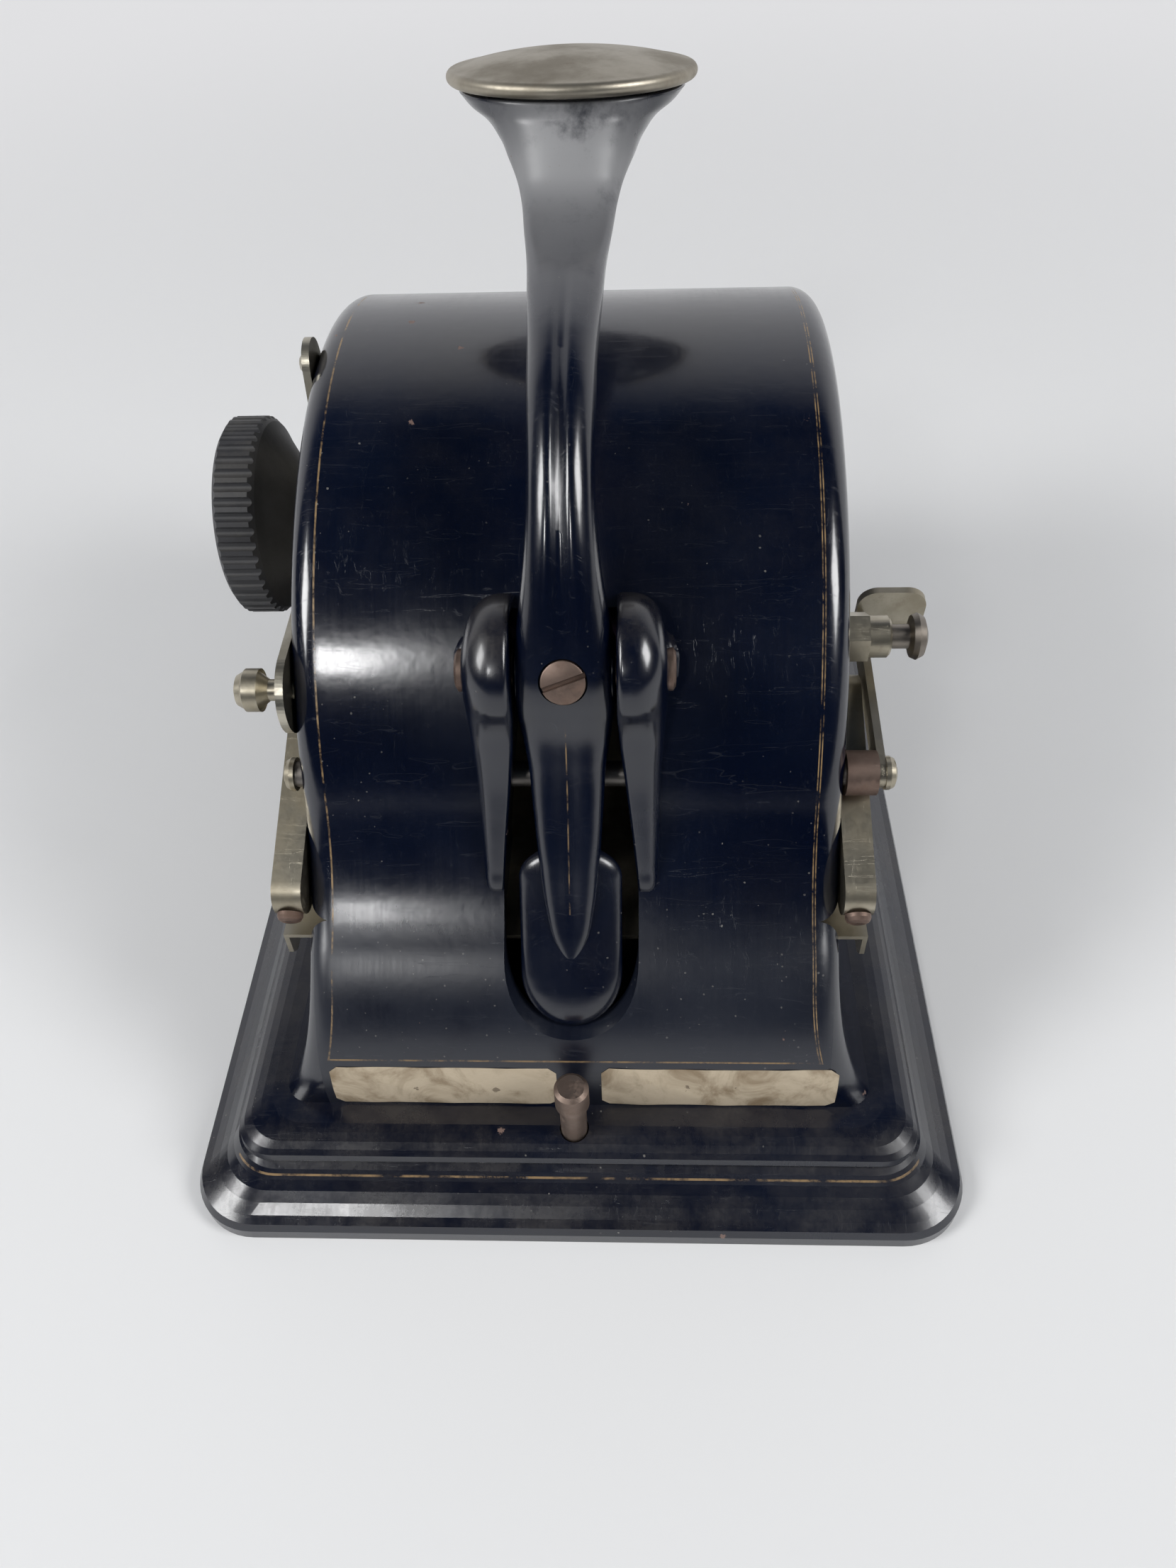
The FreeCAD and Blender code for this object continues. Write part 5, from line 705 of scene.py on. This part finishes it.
# %% The hood's wall, slot and throats
wall = hood.modifiers.new("wall", "SOLIDIFY")
wall.thickness, wall.offset, wall.use_even_offset = WALL * MM, -1, True
bake(hood)


def carried(name, outline_xz, y0, y1):
    """A closed outline of (x, z) points carried along Y, with both ends closed."""
    ring = np.asarray(outline_xz, float)
    n = len(ring)
    points = np.vstack([np.stack([ring[:, 0], np.full(n, y), ring[:, 1]], 1) for y in (y0, y1)])
    faces = grid_faces(2, n, loop_cols=True).tolist() + [list(range(n)), list(range(2 * n - 1, n - 1, -1))]
    return settle(mesh_object(name, points, faces))


NECK, SLOT, SLOT_MID = 9.8, 13.5, 51.5
low_round = np.radians(np.linspace(0, -180, 25))
slot_ring = np.vstack([[[NECK, 108], [NECK, 92], [SLOT, 74]],
                       np.stack([SLOT * np.cos(low_round), SLOT_MID + SLOT * np.sin(low_round)], 1),
                       [[-SLOT, 74], [-NECK, 92], [-NECK, 108]]])
LOW, HIGH = 48.9, 56
throats = [carried("throat_%d" % k, [[x0, LOW], [x1, LOW], [x1, HIGH], [x0, HIGH]], -83, 40)
           for k, (x0, x1) in enumerate(((-80, -41.8), (41.8, 80)))]
carve(hood, [carried("slot", slot_ring, -140, -42)] + throats, 35)
hood.data.materials.append(hood_enamel)
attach(hood, "base")
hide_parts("hood")
print("hood:", len(hood.data.polygons), "faces")

# %% [markdown]
# ## The ears
# Two knuckles stand on the hood's front and hold the lever's pivot. Each is a ridge: a rib that goes up from
# the hollow, over a round head and back into the hood. Every rib is an arch across X: flat towards the lever,
# well rounded outside, spreading at its foot. The ribs fan out from inner points that lie within the hood.

# %% The two ears


def ear(name, sign):
    """Arches along the ear: row s goes from the inner point A(s) to the crest E(s), column v goes across."""
    # crest y, z, inner point y, z, inner x, outer x, squareness
    ribs = [(-77.6, 57.0, -62.0, 57.0, 13.3, 17.8, 0.6), (-78.9, 60.5, -61.0, 60.0, 13.3, 17.9, 0.6),
            (-77.6, 65.0, -59.0, 64.0, 12.9, 17.9, 0.6), (-75.6, 71.0, -58.0, 69.0, 12.3, 17.9, 0.6),
            (-73.6, 77.0, -57.0, 76.0, 11.6, 17.9, 0.6), (-71.6, 84.0, -56.0, 82.0, 10.8, 18.1, 0.6),
            (-70.7, 91.0, -55.5, 88.0, 10.1, 18.5, 0.65), (-70.4, 95.5, -56.0, 94.0, 9.8, 18.8, 0.78),
            (-70.7, 98.6, -57.0, 98.0, 9.6, 19.0, 0.9), (-71.4, 102.6, -57.0, 101.5, 9.6, 19.1, 1.0),
            (-70.0, 108.6, -57.0, 104.0, 9.6, 19.0, 1.0), (-65.2, 113.4, -56.0, 105.0, 9.6, 18.6, 1.0),
            (-58.0, 115.4, -52.0, 104.0, 9.6, 18.2, 1.0), (-50.5, 112.9, -48.0, 102.0, 9.6, 17.6, 1.0),
            (-44.0, 107.5, -44.0, 98.0, 9.6, 17.0, 1.0)]
    rib = track(ribs, 150)
    inner = np.stack([np.full(12, 0.0), np.linspace(0, 0.90, 12)], 1)
    small = np.radians(np.linspace(0, 90, 6))[1:]
    crest = np.stack([0.13 * (1 - np.cos(small)), 0.90 + 0.10 * np.sin(small)], 1)
    large = np.radians(np.linspace(90, 0, 22))[1:]
    flare = np.radians(np.linspace(0, 80, 8))[1:]
    spread_out = np.stack([1 + 0.26 * (1 - np.cos(flare)), 0.42 - 0.42 * np.sin(flare)], 1)
    power = rib[:, 6, None]
    outer = np.stack([0.30 + 0.70 * np.cos(large) ** power, 0.42 + 0.58 * np.sin(large) ** power], -1)
    fixed = [np.repeat(part[None], len(rib), 0) for part in (inner, crest, spread_out)]
    arch = np.concatenate([fixed[0], fixed[1], outer, fixed[2]], 1)
    grid = np.empty((*arch.shape[:2], 3))
    grid[..., 0] = sign * (rib[:, None, 4] + (rib[:, None, 5] - rib[:, None, 4]) * arch[..., 0])
    for axis, (a, e) in enumerate(((2, 0), (3, 1))):
        grid[..., axis + 1] = rib[:, None, a] + (rib[:, None, e] - rib[:, None, a]) * arch[..., 1]
    piece = surface(name, grid, sharp=50)
    piece.data.materials.append(ear_enamel)
    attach(piece, "base")
    return piece


ear_enamel = enamel("ear_enamel", 0.35)
ears = [ear("ear_left", -1), ear("ear_right", 1)]
print("ears:", [len(e.data.polygons) for e in ears])

# %% [markdown]
# ## The hand lever
# One casting with three characters: a boss at the pivot, an arm that climbs over the hood and opens like a
# trumpet under the palm button, and a pointed tail in front of a round spoon. It is one stack of closed
# sections from the tail's tip to the button's seat. In the side view each section joins a point on the front
# line to one on the back line. A section is a rounded square with a groove between two soft ridges.

# %% The lever's body, from its tip to the trumpet
PIVOT = np.array([-60.0, 102.6])
SEAT_Y, SEAT_Z, TILT = 49.0, 171.0, math.radians(8)


def lever_rings(stations, count):
    """Closed sections: front y, z, back y, z, half width, groove depth, groove width, squareness.

    Across, u = |cos a|^p and v = |sin a|^p with their signs. The groove takes depth * exp(-(u / width)^2)
    from the front half, and the shoulders fall away beside the ridges."""
    line = track(stations, count)
    a = np.linspace(0, 2 * np.pi, 96, endpoint=False)
    c, s = np.cos(a), np.sin(a)
    power = line[:, None, 7]
    u = np.sign(c) * np.abs(c) ** power
    v = np.sign(s) * np.abs(s) ** power
    front, behind = line[:, None, 0:2], line[:, None, 2:4]
    tall = np.linalg.norm(front - behind, axis=2) / 2
    depth, width = line[:, None, 5], line[:, None, 6]
    groove = depth * np.exp(-((u / width) ** 2)) * (s > 0)
    fall = 0.30 * depth * np.clip(np.abs(u) - width - 0.2, 0, None) * (s > 0)
    v = v - (groove + fall) / tall
    yz = (front + behind) / 2 + v[..., None] * (front - behind) / 2
    return np.concatenate([(line[:, None, 4] * u)[..., None], yz], -1)


def seat_station(radius, height):
    """A round section of the trumpet's mouth, on the button's own tilted axis."""
    y = SEAT_Y + height * math.sin(TILT)
    z = SEAT_Z + height * math.cos(TILT)
    dy, dz = radius * math.cos(TILT), radius * math.sin(TILT)
    return (y - dy, z + dz, y + dy, z - dz, radius, 0.0, 0.3, 1.0)


lever_stations = [
    (-90.2, 51.8, -89.2, 51.2, 0.9, 0.0, 0.42, 1.0), (-88.9, 55.2, -86.0, 53.6, 3.0, 0.4, 0.45, 0.9),
    (-85.6, 62.4, -80.5, 60.0, 4.9, 1.0, 0.45, 0.80), (-81.6, 71.0, -74.5, 68.0, 6.0, 1.3, 0.42, 0.80),
    (-76.6, 80.4, -69.0, 77.4, 6.8, 1.5, 0.42, 0.76), (-72.8, 88.8, -64.0, 85.5, 7.5, 1.3, 0.40, 0.76),
    (-70.4, 95.0, -60.5, 91.0, 8.5, 0.8, 0.36, 0.62), (-69.8, 99.0, -57.5, 95.0, 9.1, 0.4, 0.32, 0.50),
    (-69.4, 102.6, -54.0, 100.0, 9.3, 0.2, 0.30, 0.44), (-68.5, 106.6, -52.0, 105.0, 9.2, 0.2, 0.28, 0.46),
    (-66.9, 110.6, -52.0, 109.6, 8.8, 0.4, 0.26, 0.56), (-64.9, 116.5, -52.0, 113.5, 8.1, 0.8, 0.24, 0.72),
    (-61.8, 124.0, -50.5, 119.0, 7.1, 1.1, 0.22, 0.80), (-56.4, 132.6, -46.4, 125.3, 6.3, 1.3, 0.20, 0.80),
    (-48.6, 140.9, -40.4, 132.6, 6.0, 1.4, 0.19, 0.80), (-38.0, 147.8, -32.0, 138.8, 6.2, 1.3, 0.18, 0.80),
    (-26.0, 151.8, -22.4, 142.6, 6.4, 0.9, 0.18, 0.80), (-13.0, 154.0, -10.2, 146.0, 7.0, 0.5, 0.18, 0.74),
    (-2.0, 155.0, 2.5, 149.2, 7.6, 0.2, 0.18, 0.66), (7.5, 156.0, 16.0, 151.5, 8.7, 0.0, 0.2, 0.66),
    (14.5, 157.6, 29.0, 152.8, 9.6, 0.0, 0.3, 0.66), (18.6, 160.0, 41.0, 153.8, 10.9, 0.0, 0.3, 0.70),
    (21.2, 163.2, 53.0, 154.4, 12.9, 0.0, 0.3, 0.72), (22.9, 166.0, 62.0, 157.5, 15.1, 0.0, 0.3, 0.78),
    (24.3, 168.6, 68.2, 160.8, 18.4, 0.0, 0.3, 0.86), (24.9, 169.7, 70.6, 163.2, 21.4, 0.0, 0.3, 0.95),
    seat_station(23.5, -2.6)]
body_grid = lever_rings(lever_stations, 330)
mouth = lever_rings([seat_station(23.5, -2.6), seat_station(23.3, -2.1), seat_station(22.3, -1.9),
                     seat_station(22.1, 0.3)], 12)
lever_body = surface("lever_body", np.vstack([body_grid, mouth[1:]]), loop_cols=True, cap=True, sharp=48)
SCREW_LEAN = math.atan2(3.68, 7.55)
at_pivot = Matrix.Translation((0, *PIVOT))
screw_place = (at_pivot @ Matrix.Rotation(math.pi / 2 - SCREW_LEAN, 4, "X")
               @ Matrix.Rotation(math.radians(20), 4, "Z"))
SINK = 4.45
sink = put(turned("screw_sink", [(0, 7.6), (SINK, 7.6), (SINK, 14.0), (0, 14.0)], 64), screw_place)
carve(lever_body, [sink], 48)
lever_body.data.materials.append(lever_enamel)
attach(lever_body, "hand_lever")
print("lever:", len(lever_body.data.polygons), "faces")

# %% [markdown]
# The spoon is a round plate behind the tail, convex in front. The small lugs below hold the link pin, and a
# short drum round the pivot fills the boss from behind.

# %% The lever's spoon and its lugs


def spoon():
    """A curved plate: columns across X, rows down a smooth line, thick in the middle, round at the bottom."""
    rows, cols = 60, 64
    down = [(-75.4, 70.4), (-79.2, 63.2), (-84.5, 55.0), (-90.2, 46.6), (-94.0, 40.0), (-95.0, 37.6)]
    line = track(down, rows)
    along = np.gradient(line, axis=0)
    along /= np.linalg.norm(along, axis=1)[:, None]
    front = np.stack([along[:, 1], -along[:, 0]], 1)
    a = np.linspace(0, 2 * np.pi, cols, endpoint=False)
    reach = np.linspace(0, 1, rows)
    half = 10.2 * np.clip(1 - np.clip((reach - 0.70) / 0.302, 0, 1) ** 2, 0.0, 1) ** 0.5
    half *= np.clip(1 - np.clip((0.17 - reach) / 0.175, 0, 1) ** 2, 0.05, 1) ** 0.5
    u = np.sign(np.cos(a)) * np.abs(np.cos(a)) ** 0.8
    v = np.sin(a)
    thick = 3.0 * np.clip(half / 9.7, 0.12, 1) ** 0.5
    grid = np.empty((rows, cols, 3))
    grid[..., 0] = half[:, None] * u
    grid[..., 1:] = line[:, None] + front[:, None] * (v[None, :] * thick[:, None])[..., None]
    return surface("lever_spoon", grid, loop_cols=True, cap=True, sharp=60)


spoon_piece = spoon()
spoon_piece.data.materials.append(enamel("spoon_enamel", 0.12))
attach(spoon_piece, "hand_lever")
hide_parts("hand_lever")
boss_ring = turned("lever_boss", [(0, -9.3), (6.2, -9.3), (7.2, -8.8), (7.4, -7.6), (7.4, 7.6), (7.2, 8.8),
                                  (6.2, 9.3), (0, 9.3)], 72, 30)
put(boss_ring, at_pivot @ Matrix.Rotation(math.pi / 2, 4, "Y"))
boss_ring.data.materials.append(lever_enamel)
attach(boss_ring, "hand_lever")
for sign in (-1, 1):
    lug = turned("lever_lug_%s" % ("left" if sign < 0 else "right"),
                 [(0, 4.5), (3.9, 4.5), (4.2, 4.8), (4.2, 7.2), (3.9, 7.5), (0, 7.5)], 48, 30)
    put(lug, Matrix.Translation((0, -82, 43.6)) @ Matrix.Rotation(sign * math.pi / 2, 4, "Y"))
    lug.data.materials.append(lever_enamel)
    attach(lug, "hand_lever")
print("spoon:", len(spoon_piece.data.polygons), "faces")

# %% [markdown]
# ## Worn nickel
# The palm button, the screws and the small levers were nickelled. The plate has gone dull and warm, with
# darker clouds and a faint grain, and it is brighter where hands rub it. One function makes the family: each
# metal has its two colours, its roughness and how much of it is rust.

# %% The metal materials
RUST, METAL_DUST, RUBBER_DUST = (0.13, 0.075, 0.05), (0.16, 0.14, 0.11), (0.13, 0.12, 0.10)


def metal(name, light, dark, rough, rust):
    """Clouds of two colours, rust where the noise is high, and dust on what faces up."""
    material, tree, shader = new_material(name)
    place = object_place(tree)
    worn = use_group(tree, wear, place, Scale=70.0)
    fine = noise(tree, place, 900.0, 3.0, 0.6)
    colour = mix(tree, worn["Blotch"], light, dark)
    cloudy = ramp(tree, noise(tree, place, 190.0, 6.0, 0.7), 0.62 - 0.35 * rust, 0.86 - 0.35 * rust)
    rusty = times(tree, cloudy, min(1.0, 0.35 + rust))
    dusty = use_group(tree, dust, place, Amount=0.1, Scale=120.0)["Mask"]
    colour = mix(tree, dusty, mix(tree, rusty, colour, RUST), METAL_DUST)
    cover = math_node(tree, "MAXIMUM", rusty, dusty)
    link(tree, colour, shader.inputs["Base Color"])
    value = scaled(tree, fine, 0.12, scaled(tree, worn["Blotch"], 0.14, rough))
    link(tree, scaled(tree, cover, 0.3, value, clamp=True), shader.inputs["Roughness"])
    link(tree, scaled(tree, cover, -0.85, 1.0, clamp=True), shader.inputs["Metallic"])
    bump(tree, shader, scaled(tree, worn["Scratch"], -0.6, fine), 0.25, 0.00008)
    return material


button_nickel = metal("button_nickel", (0.46, 0.42, 0.345), (0.33, 0.295, 0.235), 0.36, 0.10)
nickel = metal("nickel", (0.50, 0.46, 0.37), (0.36, 0.32, 0.24), 0.26, 0.15)
plate_nickel = metal("plate_nickel", (0.52, 0.49, 0.41), (0.38, 0.35, 0.28), 0.24, 0.2)
aged_screw = metal("aged_screw", (0.27, 0.20, 0.165), (0.17, 0.115, 0.095), 0.40, 0.42)
pin_nickel = metal("pin_nickel", (0.36, 0.28, 0.235), (0.25, 0.185, 0.15), 0.34, 0.30)
spindle_nickel = metal("spindle_nickel", (0.30, 0.27, 0.235), (0.19, 0.165, 0.14), 0.32, 0.2)
steel = metal("steel", (0.33, 0.31, 0.29), (0.22, 0.20, 0.18), 0.36, 0.3)
type_metal = metal("type_metal", (0.40, 0.39, 0.37), (0.27, 0.26, 0.25), 0.4, 0.1)
iron = metal("iron", (0.10, 0.095, 0.09), (0.06, 0.055, 0.05), 0.55, 0.3)


def plain(name, light, dark, rough, scale, strength):
    """Rubber or felt: no metal, a mottled colour and a fine bump."""
    material, tree, shader = new_material(name)
    place = object_place(tree)
    worn = use_group(tree, wear, place, Scale=scale)
    fine = noise(tree, place, 1500.0, 3.0, 0.6)
    dusty = use_group(tree, dust, place, Amount=0.3, Scale=90.0)["Mask"]
    colour = mix(tree, worn["Blotch"], light, dark)
    link(tree, mix(tree, dusty, colour, RUBBER_DUST), shader.inputs["Base Color"])
    link(tree, scaled(tree, fine, 0.15, rough), shader.inputs["Roughness"])
    bump(tree, shader, fine, strength, 0.00012)
    return material


hard_rubber = plain("hard_rubber", (0.036, 0.036, 0.040), (0.020, 0.020, 0.022), 0.42, 60.0, 0.3)
pad_rubber = plain("pad_rubber", (0.030, 0.028, 0.026), (0.018, 0.017, 0.016), 0.6, 60.0, 0.4)
ink_felt = plain("ink_felt", (0.030, 0.012, 0.040), (0.012, 0.006, 0.018), 0.85, 90.0, 0.9)
finish_of = {"black_enamel": lever_enamel, "button_nickel": button_nickel, "nickel": nickel,
             "plate_nickel": plate_nickel, "aged_screw": aged_screw, "steel": steel, "type_metal": type_metal,
             "iron": iron, "hard_rubber": hard_rubber, "pad_rubber": pad_rubber, "ink_felt": ink_felt}
for entry in frame["record"]["subparts"]:
    mesh = node[entry["node"]].data
    mesh.materials.clear()
    mesh.materials.append(finish_of[entry["material_slot"]])
special = {"base_casting": base_enamel, "release_pin": pin_nickel, "roller_spindle": spindle_nickel,
           "clamp_screw_right": nickel}
for name, finish in special.items():
    node[name].data.materials[0] = finish

# %% [markdown]
# ## The palm button
# A turned piece: a shallow dome whose rolled rim hangs a little below its seat on the trumpet's mouth. Its
# profile is carried round its own axis and then tipped back by eight degrees, to the place on the lever.

# %% The palm button
DISC, DOME, ROLL = 24.2, 2.8, 1.4
dome = [(DISC * t, DOME * (1 - t**2.2) + ROLL) for t in np.linspace(0, 1, 26)]
roll = [(24.55 + 1.45 * math.sin(a), ROLL * math.cos(a)) for a in np.linspace(0.15, 3.0, 14)]
under = [(24.1, -1.0), (23.7, 0.0), (22.5, 0.3), (0.0, 0.3)]
button = turned("button_disc", dome + roll + under, 128, 60)
SEAT = Matrix.Translation((0, SEAT_Y, SEAT_Z)) @ Matrix.Rotation(-TILT, 4, "X")
put(button, SEAT)
button.data.materials.append(button_nickel)
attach(button, "hand_lever")
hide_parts("palm_button")
spots = np.empty(3 * len(button.data.vertices))
button.data.vertices.foreach_get("co", spots)
print("button top in mm:", round(spots[2::3].max() / MM, 1))

# %% [markdown]
# The boss screw sits in a round sink in front of the pivot. Its head is a flat cheese head with a rolled
# edge, a hair smaller than the sink, and the slot is a Boolean groove that leans up to the right.

# %% The boss screw
screw = turned("boss_screw_head", [(0, 7.65), (3.9, 7.65), (4.15, 7.9), (4.15, 9.0), (4.05, 9.25),
                                   (3.8, 9.4), (0, 9.5)], 72, 35)
SLOT_REACH, SLOT_HALF = 6, 0.5
slot_box = [[sx * SLOT_REACH, sy * SLOT_HALF, z] for z in (8.2, 11)
            for sx, sy in ((-1, -1), (1, -1), (1, 1), (-1, 1))]
box_faces = [[0, 3, 2, 1], [4, 5, 6, 7], [0, 1, 5, 4], [1, 2, 6, 5], [2, 3, 7, 6], [3, 0, 4, 7]]
carve(screw, [mesh_object("slot_box", slot_box, box_faces)], 35)
put(screw, screw_place)
screw.data.materials.append(aged_screw)
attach(screw, "hand_lever")
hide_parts("boss_screw")
print("boss screw:", len(screw.data.polygons), "faces")

# %% [markdown]
# ## Two blank paper labels
# Two strips of old paper are pasted on the hood's foot, under the gold line, one on each side of the middle.
# They carry no words here. Each is a sheet that follows the foot's curve a tenth of a millimetre in front of
# it, with a torn edge, clipped corners and stains.

# %% The paper labels
CREAM, TAN, STAIN, SPOT = (0.56, 0.47, 0.345), (0.47, 0.39, 0.28), (0.24, 0.175, 0.105), (0.10, 0.07, 0.045)
LABEL_LOW, LABEL_HIGH = 19.2, 31.2


def paper_material():
    """Cream fibre with brown stains and dark spots."""
    material, tree, shader = new_material("aged_paper")
    place = object_place(tree)
    fibre = noise(tree, place, 900.0, 4.0, 0.7, (1.0, 3.0, 3.0))
    stain = ramp(tree, noise(tree, place, 95.0, 5.0, 0.65, None, 0.8), 0.42, 0.72)
    spots = use_group(tree, specks, place, Scale=300.0, Share=0.10)["Mask"]
    colour = mix(tree, stain, mix(tree, fibre, CREAM, TAN), STAIN)
    colour = mix(tree, times(tree, spots, 0.7), colour, SPOT)
    link(tree, colour, shader.inputs["Base Color"])
    shader.inputs["Roughness"].default_value = 0.75
    bump(tree, shader, fibre, 0.3, 0.00008)
    return material


def label(name, x0, x1, seed):
    """A grid over (x, z). Y is the foot's face: a plumb line, and above the ankle's centre its arc."""
    cols, rows = 150, 40
    t, w = np.meshgrid(np.linspace(0, 1, cols), np.linspace(0, 1, rows), indexing="xy")
    draw = np.random.default_rng(seed)
    waves = [draw.uniform(0.3, 1.0, 7) / (1 + np.arange(7)) ** 0.5, draw.uniform(0, 6.28, 7)]
    steps = np.arange(2, 9)[:, None, None]
    ragged = sum(waves[0][:, None, None] * np.sin(steps * 2.7 * t[None] + waves[1][:, None, None]))
    x = x0 + (x1 - x0) * t + 0.14 * ragged[:, ::-1] * (np.abs(t - 0.5) * 2) ** 6
    corner = 1.4 * np.clip(1 - np.minimum(t, 1 - t) * (x1 - x0) / 1.6, 0, 1) * (w * 2 - 1)
    level = LABEL_LOW + (LABEL_HIGH - LABEL_LOW) * w
    z = level + 0.10 * ragged * (np.abs(w - 0.5) * 2) ** 6 - corner * np.abs(w * 2 - 1) ** 3
    rise = np.clip(z - ankle_mid[1], 0, None)
    curl = 0.10 * np.abs(np.sin(9 * t + 4 * w)) ** 6
    y = ankle_mid[0] - np.sqrt(ANKLE_RADIUS**2 - rise**2) - 0.12 - curl
    front = np.stack([x, y, z], -1)
    back = front + [0, 0.09, 0]
    n = rows * cols
    faces = np.vstack([grid_faces(rows, cols), grid_faces(rows, cols, start=n)[:, ::-1]]).tolist()
    edge = np.concatenate([np.arange(cols), np.arange(2 * cols - 1, n, cols),
                           np.arange(n - 2, n - cols - 1, -1), np.arange(n - 2 * cols, 0, -cols)])
    faces += np.stack([np.roll(edge, -1), edge, edge + n, np.roll(edge, -1) + n], 1).tolist()
    piece = settle(mesh_object(name, np.stack([front, back]), faces), 50)
    piece.data.materials.append(aged_paper)
    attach(piece, "base")
    return piece


aged_paper = paper_material()
labels = [label("paper_label_left", -50.6, -3.6, 3), label("paper_label_right", 5.6, 54.0, 8)]
print("labels:", [len(o.data.polygons) for o in labels])

# %% [markdown]
# ## The release pin's spring
# A short coil under the deck pushes the pin up. A rigid coil would be driven through its bracket when the pin
# goes down, so this one stays on its bracket. It is a tube round a helix: the angle grows along the wire
# while the height rises evenly, with the end turns laid flat.

# %% The pin's spring
low, high = (np.array(c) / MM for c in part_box("release_spring"))
WIRE, TURNS, PRESS = 0.45, 3.5, 3.5
t = np.linspace(0, 1, 220)
angle = 2 * np.pi * TURNS * t
flat_ends = np.clip((t - 0.10) / 0.80, 0, 1)
coil_reach = (high[0] - low[0]) / 2 - WIRE
middle = (low + high) / 2
level = low[2] + WIRE + (high[2] - low[2] - 2 * WIRE) * flat_ends
line = np.stack([middle[0] + coil_reach * np.cos(angle), middle[1] + coil_reach * np.sin(angle), level], 1)
out = np.stack([np.cos(angle), np.sin(angle), np.zeros_like(t)], 1)
round_wire = np.linspace(0, 2 * np.pi, 12, endpoint=False)
tube = (line[:, None] + WIRE * (np.cos(round_wire)[None, :, None] * out[:, None]
                                + np.sin(round_wire)[None, :, None] * np.array([0, 0, 1.0])))
spring = surface("release_coil", tube, loop_cols=True, cap=True, sharp=60)
spring.data.materials.append(steel)
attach(spring, "base")
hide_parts("release_spring")
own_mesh(spring)

# %% Update the view layer
bpy.context.view_layer.update()
